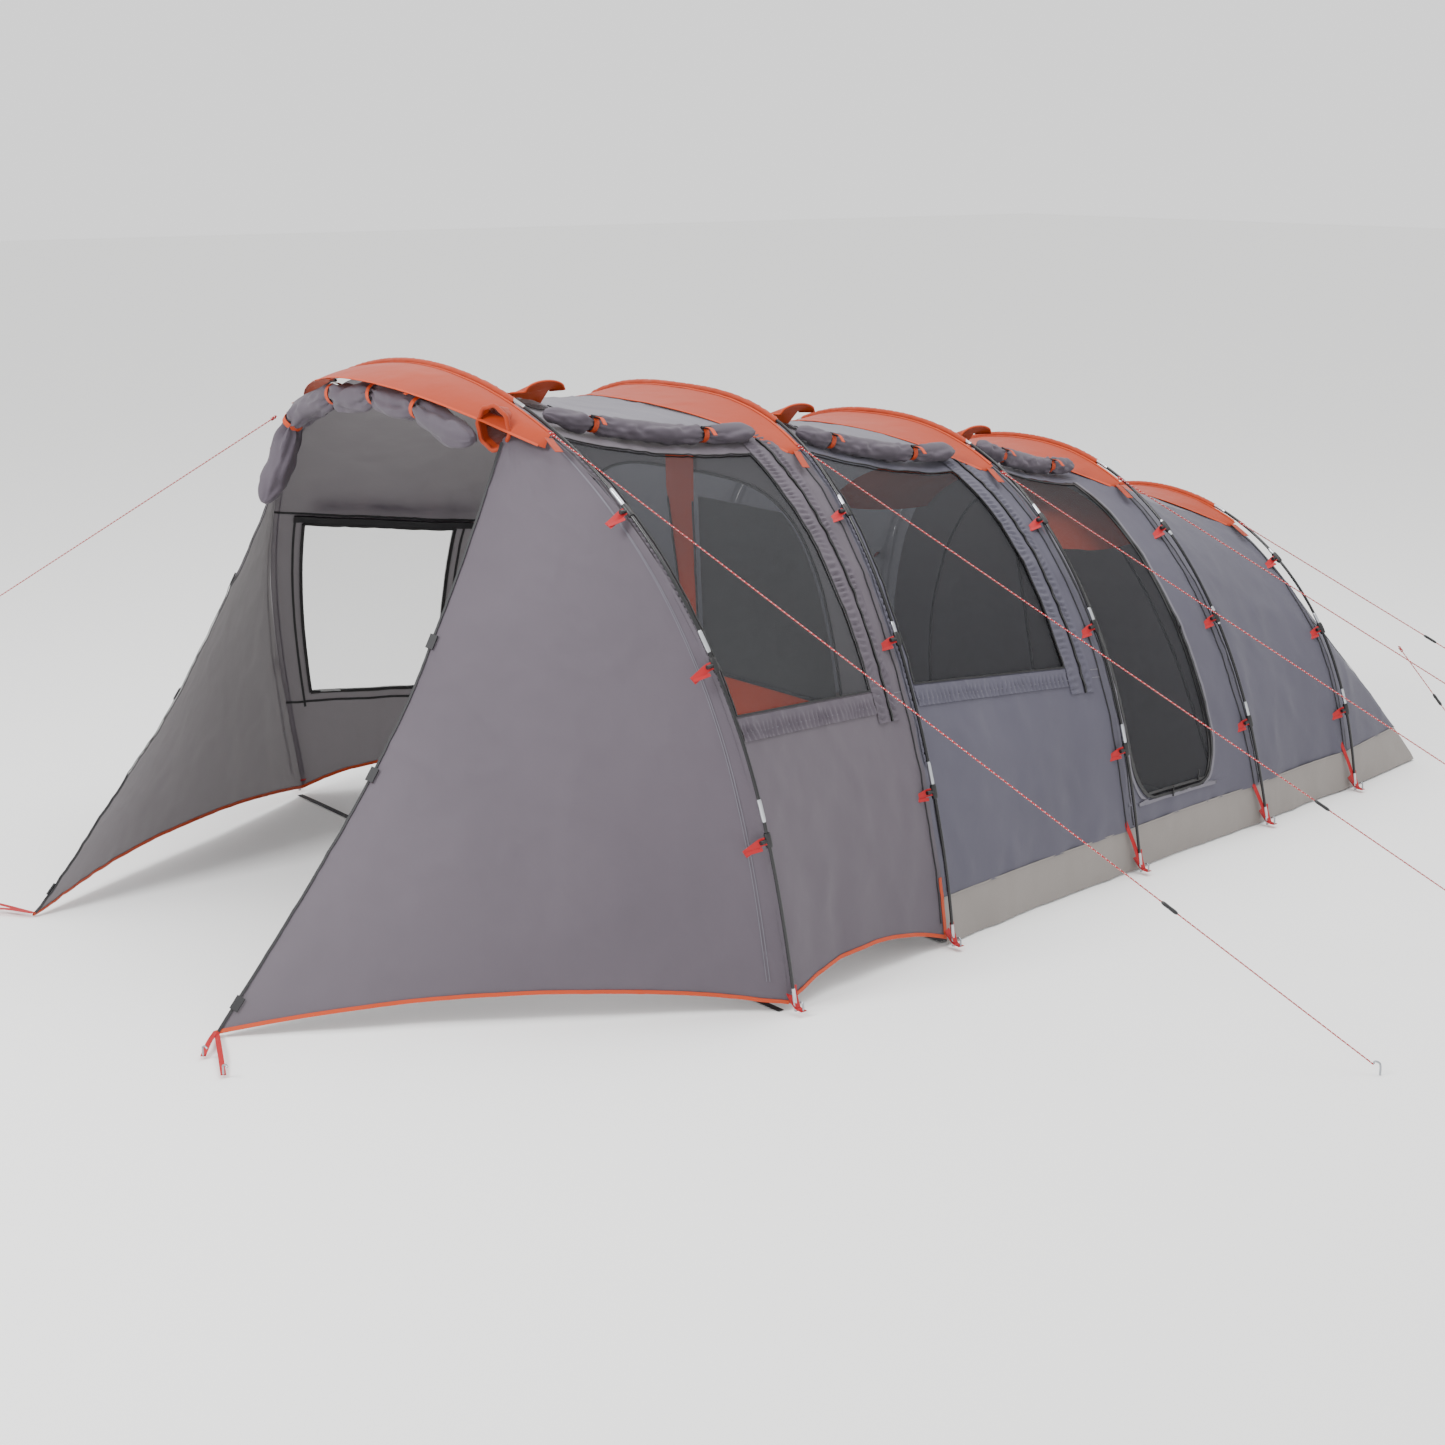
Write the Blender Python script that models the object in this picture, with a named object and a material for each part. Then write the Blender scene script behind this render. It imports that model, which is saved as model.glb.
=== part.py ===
"""Tunnel tent on five arched poles, with two porch wings at the front.

Metres, +Z up. The porch opens towards -Y, the tunnel narrows towards +Y, and +X is
the side with the side door. The origin is on the ground, under the middle of the tent.
"""

import math
from collections import namedtuple

import bmesh
import bpy
from mathutils import Vector

# ---------------------------------------------------------------- driving dimensions

# bow is how far the lean is carried by the lower half, the powers are the two
# exponents of the arch's superellipse.
Arch = namedtuple("Arch", "half_width height foot_y lean bow side_power top_power")
ARCHES = (
    Arch(1.82, 2.13, -0.01, -0.36, -0.01, 1.96, 2.93),
    Arch(1.64, 1.97, 0.89, -0.05, 0.80, 2.83, 1.50),
    Arch(1.41, 1.79, 2.15, -0.23, 0.53, 2.27, 2.63),
    Arch(1.26, 1.62, 3.11, -0.32, 0.28, 2.25, 2.29),
    Arch(1.12, 1.32, 3.89, -0.22, 0.15, 2.01, 2.55),
)
WING_TIP = (0.80, -1.70)
RISE_POWER = 0.87
REAR_CORNER = (0.93, 4.58)
MIDDLE_Y = 1.4531

POLE_RADIUS = 0.00625
POLE_FOOT = 0.0025
FABRIC_INSET = 0.035
SKIN = 0.006
GAP = 0.004
FLOOR_MARGIN = 0.038
INNER_INSET = 0.08

ROOF_SAG = 0.07
WALL_SAG = 0.012
WALL_MIDDLE = 0.205
FAR_WALL_MIDDLE = 0.10
WALL_HIGH = 1.25
HEM_LOW = 0.035
HEM_RISE = 0.085
SKIRT_LOW = 0.0075
SKIRT_TOP = 0.18
FLOOR_THICKNESS = 0.004
FLOOR_CLEARANCE = 0.02
DOORWAY_HALF_WIDTH = 1.02
DOORWAY_HEIGHT = 1.62
SCREEN_TOP = 1.54
SCREEN_MARGIN = 0.03
STRIP_FOOT = 0.05
STRIP_HEAD = -0.12
STRIP_WIDTH = (0.05, 0.19)
STRAP_WIDTH = 0.025
STRAP_THICKNESS = 0.002

WINDOW_LOW = 0.468
WINDOW_HIGH = 1.14
WINDOW_FRONT = 0.05
WINDOW_BACK = 0.80
FAR_WINDOW_LOW = 0.19
FAR_WINDOW_HIGH = 0.63
FAR_WINDOW_FRONT = 0.12
FAR_WINDOW_BACK = 0.73
DOOR_LOW = 0.125
DOOR_HIGH = 1.18
DOOR_FRONT = 0.06
DOOR_BACK = 0.72
# A panel's cloth stops this share of a bay short of the poles at its ends.
PANEL_START = 0.012
PANEL_END = 0.985
ROOF_END = 0.98
# A mesh panel stands this far inside its opening, in turns and in shares.
MESH_MARGIN = 0.006
DOOR_MARGIN_TURN = 0.012
DOOR_MARGIN_SHARE = 0.016
MESH_THICKNESS = 0.003
THIN_SKIN = 0.004

BAND_WIDTH = 0.24
BAND_FIRST = 1.12
BAND_RISE = 0.027
BAND_CLEARANCE = 0.014
BAND_DROP = 0.012

ROLL_RADIUS = 0.035
VENT_INSET = -0.012
VENT_ANGLE = 1.36
VENT_LIFT = math.radians(25)
VENT_LENGTH = 0.10
VENT_WIDTH = 0.17
VENT_CROWN = 0.028
# The bay that each vent is in, and how far along it.
VENTS = ((0, 0.17), (1, 0.15), (2, 0.14))
DOOR_ROLL_RADIUS = 0.048

GUY_RADIUS = 0.0025
GUY_POINTS = 14
RUNNER_SIZE = (0.026, 0.070, 0.012)
RUNNER_BORE = 0.0042
PEG_HEIGHT = 0.045
PEG_RADIUS = 0.004

FIBREGLASS = ("fibreglass", (0.015, 0.015, 0.016), 0.35, 0.0)
STEEL = ("steel", (0.60, 0.61, 0.62), 0.35, 0.9)
POLYESTER = ("polyester", (0.24, 0.21, 0.25), 0.7, 0.0)
ORANGE = ("orange_polyester", (0.64, 0.08, 0.02), 0.7, 0.0)
MESH = ("insect_mesh", (0.03, 0.03, 0.035), 0.8, 0.0)
CLEAR = ("clear_film", (0.75, 0.78, 0.80), 0.15, 0.0)
SHEETING = ("floor_sheeting", (0.33, 0.30, 0.29), 0.6, 0.0)
WEBBING = ("webbing", (0.02, 0.02, 0.02), 0.8, 0.0)
CORD = ("guy_cord", (0.60, 0.05, 0.08), 0.8, 0.0)
NYLON = ("nylon", (0.02, 0.02, 0.02), 0.4, 0.0)


# ---------------------------------------------------------------- scene and materials


def clear_scene():
    for item in list(bpy.data.objects):
        bpy.data.objects.remove(item, do_unlink=True)


def material(finish):
    name, colour, roughness, metallic = finish
    found = bpy.data.materials.get(name)
    if found:
        return found
    made = bpy.data.materials.new(name)
    made.use_nodes = True
    shader = made.node_tree.nodes["Principled BSDF"]
    shader.inputs["Base Color"].default_value = (*colour, 1.0)
    shader.inputs["Roughness"].default_value = roughness
    shader.inputs["Metallic"].default_value = metallic
    return made


def finish_mesh(name, mesh_data, finish, smooth=math.radians(40)):
    bmesh.ops.recalc_face_normals(mesh_data, faces=mesh_data.faces)
    mesh = bpy.data.meshes.new(name)
    mesh_data.to_mesh(mesh)
    mesh_data.free()
    mesh.materials.append(material(finish))
    mesh.shade_smooth()
    mesh.set_sharp_from_angle(angle=smooth)
    made = bpy.data.objects.new(name, mesh)
    bpy.context.collection.objects.link(made)
    return made


# ---------------------------------------------------------------- the tent's surfaces


def signed_power(value, power):
    return math.copysign(abs(value) ** power, value)


def arch_point(arch, turn, inset=0.0):
    """A point of an arch, from its +X foot at turn 0 to its -X foot at pi.

    The same turn is at the same share of the height on every arch.
    """
    share = abs(math.sin(turn)) ** RISE_POWER
    sine = min(share ** (arch.top_power / 2), 1.0)
    cosine = math.copysign(math.sqrt(1 - sine * sine), math.cos(turn))
    across = (arch.half_width - inset) * signed_power(cosine, 2 / arch.side_power)
    along = arch.foot_y + arch.lean * share * (1 + arch.bow * (1 - share))
    return Vector((across, along - MIDDLE_Y, (arch.height - inset) * share))


def turn_at_share(share):
    """The turn at a share of an arch's height, on its +X side."""
    return math.asin(share ** (1 / RISE_POWER))


def bay_point(bay, turn, share, inset=FABRIC_INSET):
    """A point of the cloth between two arches, which hangs a little between them."""
    front = arch_point(ARCHES[bay], turn, inset)
    back = arch_point(ARCHES[bay + 1], turn, inset)
    slack = 4 * share * (1 - share)
    steep = math.sin(turn) ** 4
    point = front.lerp(back, share)
    point.z -= ROOF_SAG * slack * steep
    point.x -= math.copysign(WALL_SAG * slack * (1 - steep), point.x)
    return point


def turn_at_height(arch, height, inset=FABRIC_INSET):
    """The arch's turn at a height on its +X side."""
    return turn_at_share(height / (arch.height - inset))


def spread(first, last, count):
    return [first + (last - first) * step / count for step in range(count + 1)]


def joined(*runs):
    """Runs of rising values end to end, each shared end once."""
    values = list(runs[0])
    for run in runs[1:]:
        values += run[1:]
    return values


def rear_base_point(turn):
    """The ground line of the rear end, from the last arch's foot round both corners."""
    corner_turn = 0.55
    foot = ARCHES[-1].half_width - FABRIC_INSET
    side = min(turn, math.pi - turn)
    sign = 1.0 if turn < math.pi / 2 else -1.0
    if side < corner_turn:
        share = side / corner_turn
        across = foot + (REAR_CORNER[0] - foot) * share
        along = ARCHES[-1].foot_y + (REAR_CORNER[1] - ARCHES[-1].foot_y) * share
    else:
        share = (side - corner_turn) / (math.pi / 2 - corner_turn)
        across = REAR_CORNER[0] * (1 - share)
        along = REAR_CORNER[1] + 0.03 * math.sin(share * math.pi / 2)
    return Vector((sign * across, along - MIDDLE_Y, 0.0))


def rear_point(turn, share):
    """A point of the rear end, from the last arch at 0 to the ground at 1."""
    top = arch_point(ARCHES[-1], turn, FABRIC_INSET)
    top.y += 0.01
    point = top.lerp(rear_base_point(turn), share)
    swell = 0.05 * math.sin(math.pi * share) * math.sin(turn)
    return point + Vector((0, swell, swell * 0.5))


# ---------------------------------------------------------------- builders of solids


def sheet_normals(rows, outward):
    """One unit normal for each point of a grid of points, all to the same side."""
    normals = []
    total = 0.0
    for i, row in enumerate(rows):
        line = []
        for j, point in enumerate(row):
            above = rows[min(i + 1, len(rows) - 1)][j] - rows[max(i - 1, 0)][j]
            beside = row[min(j + 1, len(row) - 1)] - row[max(j - 1, 0)]
            normal = above.cross(beside).normalized()
            line.append(normal)
            total += normal.dot(outward(point))
        normals.append(line)
    sign = 1.0 if total > 0 else -1.0
    return [[normal * sign for normal in line] for line in normals]


def from_axis(point):
    return Vector((point.x, 0, point.z - 0.5))


def sheet(name, rows, finish, hole=None, thickness=SKIN, outward=from_axis):
    """A thin closed solid under a grid of points, with a hole of whole cells if asked."""
    normals = sheet_normals(rows, outward)
    made = bmesh.new()
    faces = ((0.0, {}), (thickness, {}))

    def corner(layer, i, j):
        depth, known = faces[layer]
        if (i, j) not in known:
            known[i, j] = made.verts.new(rows[i][j] - normals[i][j] * depth)
        return known[i, j]

    def present(i, j):
        inside = 0 <= i < len(rows) - 1 and 0 <= j < len(rows[0]) - 1
        cut = hole and hole[0] <= i < hole[1] and hole[2] <= j < hole[3]
        return inside and not cut

    for i in range(len(rows) - 1):
        for j in range(len(rows[0]) - 1):
            if not present(i, j):
                continue
            ring = ((i, j), (i, j + 1), (i + 1, j + 1), (i + 1, j))
            # Both sides are split along the same diagonal, so that they stay parallel.
            for trio in ((0, 1, 2), (0, 2, 3)):
                made.faces.new([corner(0, *ring[at]) for at in trio])
                made.faces.new([corner(1, *ring[at]) for at in reversed(trio)])
            beyond = ((i - 1, j), (i, j + 1), (i + 1, j), (i, j - 1))
            for side, neighbour in enumerate(beyond):
                if present(*neighbour):
                    continue
                a = ring[side]
                b = ring[(side + 1) % 4]
                made.faces.new((corner(0, *b), corner(0, *a), corner(1, *a), corner(1, *b)))
    return finish_mesh(name, made, finish)


def tube(name, points, radius, finish, sides=8):
    """A closed round tube through points, with flat ends."""
    made = bmesh.new()
    rings = []
    normal = None
    for index, point in enumerate(points):
        ahead = points[min(index + 1, len(points) - 1)]
        behind = points[max(index - 1, 0)]
        way = (ahead - behind).normalized()
        if normal is None:
            normal = way.orthogonal().normalized()
        normal = (normal - way * normal.dot(way)).normalized()
        side = way.cross(normal)
        ring = []
        for step in range(sides):
            turn = 2 * math.pi * step / sides
            offset = normal * math.cos(turn) + side * math.sin(turn)
            ring.append(made.verts.new(point + offset * radius))
        rings.append(ring)
    for lower, upper in zip(rings, rings[1:]):
        for step in range(sides):
            after = (step + 1) % sides
            made.faces.new((lower[step], lower[after], upper[after], upper[step]))
    made.faces.new(list(reversed(rings[0])))
    made.faces.new(rings[-1])
    return finish_mesh(name, made, finish)


def cord(name, points, radius, finish):
    """A cord as a curve with a round section and filled ends."""
    curve = bpy.data.curves.new(name, "CURVE")
    curve.dimensions = "3D"
    curve.bevel_depth = radius
    curve.bevel_resolution = 2
    curve.use_fill_caps = True
    spline = curve.splines.new("POLY")
    spline.points.add(len(points) - 1)
    for target, point in zip(spline.points, points):
        target.co = (*point, 1.0)
    curve.materials.append(material(finish))
    made = bpy.data.objects.new(name, curve)
    bpy.context.collection.objects.link(made)
    return made


# ---------------------------------------------------------------- poles


def build_poles():
    for number, arch in enumerate(ARCHES, 1):
        points = [arch_point(arch, turn) for turn in spread(0, math.pi, 36)]
        points[0].z = POLE_FOOT
        points[-1].z = POLE_FOOT
        tube(f"pole_arch_{number}", points, POLE_RADIUS, FIBREGLASS, sides=6)


# ---------------------------------------------------------------- cloth panels


def wall_rows(bay, turns, shares, side=1):
    if side > 0:
        return [[bay_point(bay, turn, share) for share in shares] for turn in turns]
    return [[bay_point(bay, math.pi - turn, share) for share in shares] for turn in turns]


def level_point(bay, share, height, side=1):
    """A point of a bay's cloth at a height above the ground."""
    front = turn_at_height(ARCHES[bay], height)
    back = turn_at_height(ARCHES[bay + 1], height)
    turn = front + (back - front) * share
    return bay_point(bay, turn if side > 0 else math.pi - turn, share)


def hem_point(share, side=1):
    """The free lower edge of the front bay, cut in a shallow curve."""
    return level_point(0, share, HEM_LOW + HEM_RISE * 4 * share * (1 - share), side)


def wall_foot(bay, shares, side=1):
    """The lower edge of a wall, just above the floor's raised edge."""
    return [level_point(bay, share, SKIRT_TOP + GAP, side) for share in shares]


def window_wall(name, bay, side, foot, opening, middle):
    """A wall with a window: its opening is (lowest turn, highest turn, first share, last share)."""
    low, high, front, back = opening
    shares = joined(
        spread(PANEL_START, front, 1),
        spread(front, back, 4),
        spread(back, PANEL_END, 1),
    )
    turns = joined(spread(middle, low, 2), spread(low, high, 5), spread(high, WALL_HIGH, 2))
    rows = [[foot(share, side) for share in shares]]
    rows += wall_rows(bay, turns, shares, side)
    sheet(name, rows, POLYESTER, hole=(3, 8, 1, 5))


def window_panel(name, bay, side, opening, finish):
    """The mesh or film that fills a window."""
    low, high, front, back = opening
    turns = spread(low + MESH_MARGIN, high - MESH_MARGIN, 5)
    shares = spread(front + MESH_MARGIN, back - MESH_MARGIN, 4)
    sheet(name, wall_rows(bay, turns, shares, side), finish, thickness=MESH_THICKNESS)


NEAR_WINDOW = (WINDOW_LOW, WINDOW_HIGH, WINDOW_FRONT, WINDOW_BACK)
FAR_WINDOW = (FAR_WINDOW_LOW, FAR_WINDOW_HIGH, FAR_WINDOW_FRONT, FAR_WINDOW_BACK)


def build_front_bay():
    """The open front bay: its walls hang clear of the ground, and each holds a window."""
    window_wall("wall_near_1", 0, 1, hem_point, NEAR_WINDOW, WALL_MIDDLE)
    window_panel("window_mesh_near_1", 0, 1, NEAR_WINDOW, MESH)
    window_wall("wall_far_1", 0, -1, hem_point, FAR_WINDOW, FAR_WALL_MIDDLE)
    window_panel("window_clear_far_1", 0, -1, FAR_WINDOW, CLEAR)


def build_near_walls():
    def foot(share, side):
        return level_point(1, share, SKIRT_TOP + GAP, side)

    window_wall("wall_near_2", 1, 1, foot, NEAR_WINDOW, WALL_MIDDLE)
    window_panel("window_mesh_near_2", 1, 1, NEAR_WINDOW, MESH)

    door_shares = joined(
        spread(PANEL_START, DOOR_FRONT, 1),
        spread(DOOR_FRONT, DOOR_BACK, 3),
        spread(DOOR_BACK, PANEL_END, 1),
    )
    door_turns = joined(spread(DOOR_LOW, DOOR_HIGH, 7), spread(DOOR_HIGH, WALL_HIGH, 1))
    rows = [wall_foot(2, door_shares)] + wall_rows(2, door_turns, door_shares)
    sheet("wall_near_3", rows, POLYESTER, hole=(1, 8, 1, 4))
    turns = spread(DOOR_LOW + DOOR_MARGIN_TURN, DOOR_HIGH - DOOR_MARGIN_TURN, 7)
    shares = spread(DOOR_FRONT + DOOR_MARGIN_SHARE, DOOR_BACK - DOOR_MARGIN_SHARE, 3)
    sheet("side_door_mesh", wall_rows(2, turns, shares), MESH, thickness=MESH_THICKNESS)

    shares = spread(PANEL_START, ROOF_END, 3)
    rows = [wall_foot(3, shares)] + wall_rows(3, spread(WALL_MIDDLE, WALL_HIGH, 6), shares)
    sheet("wall_near_4", rows, POLYESTER)


def build_far_wall():
    """Bays two to four on the -X side are one run of cloth."""
    columns = [(1, share) for share in spread(PANEL_START, 1, 3)]
    columns += [(2, share) for share in spread(0.33, 1, 2)]
    columns += [(3, share) for share in spread(0.33, ROOF_END, 2)]
    rows = [[level_point(bay, share, SKIRT_TOP + GAP, -1) for bay, share in columns]]
    for turn in spread(WALL_MIDDLE, WALL_HIGH, 6):
        rows.append([bay_point(bay, math.pi - turn, share) for bay, share in columns])
    sheet("wall_far_2_to_4", rows, POLYESTER)


def build_roofs():
    for bay in range(4):
        turns = spread(WALL_HIGH + 0.008, math.pi - WALL_HIGH - 0.008, 6)
        rows = wall_rows(bay, turns, spread(PANEL_START, ROOF_END, 4))
        sheet(f"roof_{bay + 1}", rows, POLYESTER)


def build_rear_end():
    lowest = turn_at_height(ARCHES[-1], SKIRT_TOP + 0.09)
    rows = []
    for turn in spread(lowest, math.pi - lowest, 14):
        top = arch_point(ARCHES[-1], turn, FABRIC_INSET).z
        end = 1 - (SKIRT_TOP + 0.012) / top
        rows.append([rear_point(turn, end * share) for share in spread(0.0, 1, 4)])
    sheet("rear_end", rows, POLYESTER, outward=lambda p: Vector((p.x, 2.0, p.z)))


def wing_point(height_share, share, side=1):
    """A point of a porch wing, from the first arch at share 0 to its free front edge."""
    arch = ARCHES[0]
    low_turn = turn_at_height(arch, HEM_LOW)
    top_turn = 1.19
    turn = low_turn + (top_turn - low_turn) * height_share
    near_arch = arch_point(arch, turn, FABRIC_INSET)
    near_arch.y -= 0.012
    top = arch_point(arch, top_turn, FABRIC_INSET) + Vector((0, -0.12, -0.04))
    tip = Vector((WING_TIP[0], WING_TIP[1] - MIDDLE_Y, 0.012))
    rise = height_share ** 0.94
    front = tip.lerp(top, rise)
    front.y += 0.13 * math.sin(math.pi * rise)
    point = near_arch.lerp(front, share)
    point.z += HEM_RISE * 4 * share * (1 - share) * (1 - height_share) ** 3
    point.x *= side
    return point


def build_wings():
    for side, label in ((1, "near"), (-1, "far")):
        rows = []
        for height_share in spread(0, 1, 9):
            rows.append([wing_point(height_share, share, side) for share in spread(0, 1, 6)])
        sheet(f"wing_{label}", rows, POLYESTER)


def band_point(number, turn, share):
    """A point of the orange crescent in front of an arch's crown, from the pole at 0."""
    reach = (turn - BAND_FIRST) / (math.pi - 2 * BAND_FIRST)
    width = 0.03 + BAND_WIDTH * math.sin(math.pi * reach) ** 0.8
    inset = FABRIC_INSET - BAND_RISE
    if number == 1:
        point = arch_point(ARCHES[0], turn, inset)
        point.y -= BAND_CLEARANCE + width * share
        point.z -= BAND_DROP * share
        return point
    front = arch_point(ARCHES[number - 2], turn)
    back = arch_point(ARCHES[number - 1], turn)
    fore = 1 - (BAND_CLEARANCE + width * share) / (back - front).length
    return bay_point(number - 2, turn, fore, inset)


def build_bands():
    turns = spread(BAND_FIRST, math.pi - BAND_FIRST, 12)
    for number in range(1, len(ARCHES) + 1):
        rows = [[band_point(number, turn, share) for share in spread(0, 1, 2)] for turn in turns]
        sheet(f"roof_band_{number}", rows, ORANGE, thickness=THIN_SKIN)


# ---------------------------------------------------------------- rolls and vents


def roll_points(bay, turn, first, last, out, count=8):
    points = []
    for share in spread(first, last, count):
        points.append(bay_point(bay, turn, share, FABRIC_INSET - out))
    return points


def build_rolls():
    """The rolled-up door and window covers, each held by toggles."""
    points = []
    for turn in spread(1.27, math.pi - 1.27, 9):
        point = arch_point(ARCHES[0], turn, 0.11)
        point.y -= 0.19
        points.append(point)
    for height_share in (0.97, 0.92, 0.86, 0.80):
        points.append(wing_point(height_share, 1, -1) + Vector((0.05, -0.065, -0.02)))
    tube("front_door_roll", points, DOOR_ROLL_RADIUS, POLYESTER)
    clearance = ROLL_RADIUS + 0.008
    for bay in (0, 1):
        points = roll_points(bay, WINDOW_HIGH + 0.06, 0.06, 0.83, clearance)
        tube(f"window_roll_near_{bay + 1}", points, ROLL_RADIUS, POLYESTER)
    points = roll_points(0, math.pi - FAR_WINDOW_HIGH - 0.06, 0.14, 0.83, clearance)
    tube("window_roll_far_1", points, ROLL_RADIUS, POLYESTER)
    points = roll_points(2, DOOR_HIGH + 0.06, 0.08, 0.76, clearance)
    tube("side_door_roll", points, ROLL_RADIUS, POLYESTER)


def vent_hood(number, bay, share):
    """A small hooded vent: a stiff-edged flap that stands open from its upper edge."""
    hinge = bay_point(bay, VENT_ANGLE, share, VENT_INSET)
    down = (bay_point(bay, VENT_ANGLE - 0.1, share, VENT_INSET) - hinge).normalized()
    side = Vector((0, 1, 0))
    out = side.cross(down).normalized()
    if out.z < 0:
        out = -out
    slope = down * math.cos(VENT_LIFT) + out * math.sin(VENT_LIFT)
    rows = []
    for reach in spread(0, VENT_LENGTH, 3):
        crown = VENT_CROWN * math.sin(math.pi / 2 * reach / VENT_LENGTH)
        row = []
        for across in spread(-VENT_WIDTH / 2, VENT_WIDTH / 2, 4):
            bow = math.cos(math.pi * across / (VENT_WIDTH * 1.1))
            row.append(hinge + slope * reach + side * across + out * (crown * bow))
        rows.append(row)
    sheet(f"vent_flap_{number}", rows, ORANGE, thickness=THIN_SKIN)


def build_vents():
    for number, (bay, share) in enumerate(VENTS, 1):
        vent_hood(number, bay, share)


# ---------------------------------------------------------------- floor and partitions


def floor_outline():
    """The groundsheet's outline on the +X side, from the second arch to the back."""
    margin = FABRIC_INSET + FLOOR_MARGIN
    points = []
    for arch in ARCHES[1:]:
        points.append(Vector((arch.half_width - margin, arch.foot_y - MIDDLE_Y, 0)))
    corner = Vector((REAR_CORNER[0] - 0.03, REAR_CORNER[1] - 0.03 - MIDDLE_Y, 0))
    return points + [corner]


def build_floor():
    made = bmesh.new()
    outline = floor_outline()
    outline += [Vector((-point.x, point.y, 0)) for point in reversed(outline)]
    lower = [made.verts.new(point) for point in outline]
    face = made.faces.new(lower)
    raised = bmesh.ops.extrude_face_region(made, geom=[face])
    for item in raised["geom"]:
        if isinstance(item, bmesh.types.BMVert):
            item.co.z += FLOOR_THICKNESS
    finish_mesh("groundsheet", made, SHEETING)


def build_skirt():
    """The raised edge of the floor, from the second arch round the back."""
    lower, upper = [], []

    def add(point_at_height):
        lower.append(point_at_height(SKIRT_LOW))
        upper.append(point_at_height(SKIRT_TOP))

    def wall_column(bay, share, side):
        return lambda height: level_point(bay, share, height, side)

    def rear_column(turn):
        top = arch_point(ARCHES[-1], turn, FABRIC_INSET).z
        return lambda height: rear_point(turn, 1 - height / top)

    for bay in (1, 2, 3):
        for share in spread(PANEL_START, 1, 2)[: None if bay == 3 else -1]:
            add(wall_column(bay, share, 1))
    lowest = turn_at_height(ARCHES[-1], SKIRT_TOP + 0.12)
    for turn in spread(lowest, math.pi - lowest, 12):
        add(rear_column(turn))
    for bay in (3, 2, 1):
        for share in reversed(spread(PANEL_START, 1, 2)[: None if bay == 3 else -1]):
            add(wall_column(bay, share, -1))
    middle = [low.lerp(high, 0.5) for low, high in zip(lower, upper)]
    sheet("skirt", [lower, middle, upper], SHEETING, thickness=THIN_SKIN)


def build_partitions():
    """The living room's front, half of it screened, and the bedroom's closed front."""
    arch = ARCHES[1]
    rows = []
    for turn in spread(0.06, math.pi - 0.06, 16):
        outer = arch_point(arch, turn, FABRIC_INSET + 0.03)
        across = DOORWAY_HALF_WIDTH * signed_power(math.cos(turn), 0.5)
        height = max(DOORWAY_HEIGHT * math.sin(turn) ** 0.7, FLOOR_CLEARANCE)
        inner = Vector((across, outer.y, height))
        outer.z = max(outer.z, FLOOR_CLEARANCE)
        rows.append([outer.lerp(inner, share) for share in spread(0, 1, 2)])
    for row in rows:
        for point in row:
            point.y += 0.03
    sheet("partition_front", rows, POLYESTER, thickness=THIN_SKIN, outward=lambda p: Vector((0, -1, 0)))

    strip, screen = [], []
    for height in spread(FLOOR_CLEARANCE, SCREEN_TOP, 8):
        share = height / SCREEN_TOP
        along = arch_point(arch, turn_at_height(arch, height)).y + 0.03
        inner = STRIP_FOOT + (STRIP_HEAD - STRIP_FOOT) * share ** 2
        outer = inner + STRIP_WIDTH[0] + (STRIP_WIDTH[1] - STRIP_WIDTH[0]) * share ** 2
        edge = DOORWAY_HALF_WIDTH * (1 - (height / DOORWAY_HEIGHT) ** (2 / 0.7)) ** 0.25
        strip.append([Vector((x, along, height)) for x in (inner, outer)])
        ends = (outer + GAP, edge - SCREEN_MARGIN)
        screen.append([Vector((x, along, height)) for x in spread(*ends, 4)])
    facing = {"thickness": THIN_SKIN, "outward": lambda p: Vector((0, -1, 0))}
    sheet("inner_centre_strip", strip, ORANGE, **facing)
    sheet("inner_screen_near", screen, MESH, **facing)

    arch = ARCHES[3]
    rows = []
    for height in spread(FLOOR_CLEARANCE, arch.height - INNER_INSET - 0.03, 8):
        turn = turn_at_height(arch, height, INNER_INSET)
        edge = arch_point(arch, turn, INNER_INSET)
        rows.append([Vector((edge.x * share, edge.y + 0.04, height)) for share in spread(-1, 1, 6)])
    sheet("partition_rear", rows, POLYESTER, thickness=THIN_SKIN, outward=lambda p: Vector((0, -1, 0)))


def build_ground_strap():
    """Black webbing across the mouth of the porch, between the first arch's feet."""
    half = ARCHES[0].half_width - 0.05
    rows = []
    for across in spread(-half, half, 8):
        y = ARCHES[0].foot_y - MIDDLE_Y - 0.03
        rows.append([Vector((across, y + edge, 0.003)) for edge in (-STRAP_WIDTH / 2, STRAP_WIDTH / 2)])
    sheet("ground_strap", rows, WEBBING, thickness=STRAP_THICKNESS, outward=lambda p: Vector((0, 0, 1)))


# ---------------------------------------------------------------- guy lines


def guy_start(arch_number, turn):
    """Where a line is tied to the tab below the end of an orange band."""
    point = arch_point(ARCHES[arch_number - 1], turn, -0.035)
    point.y -= 0.07
    return point


# Name: start, and the point on the ground where its peg stands.
GUYS = {
    1: (guy_start(1, 1.10), (3.39, 1.13)),
    2: (guy_start(2, 1.10), (3.11, 2.47)),
    3: (guy_start(3, 1.06), (2.80, 3.50)),
    4: (guy_start(4, 1.11), (2.36, 4.45)),
    5: (guy_start(5, 1.08), (2.32, 4.82)),
    6: (Vector((1.02, 4.27 - MIDDLE_Y, 0.62)), (1.50, 4.44)),
    7: (guy_start(1, 2.18), (-3.80, -1.95)),
}
RUNNERS = {1: 0.765, 2: 0.71, 5: 0.42, 6: 0.40}


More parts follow.
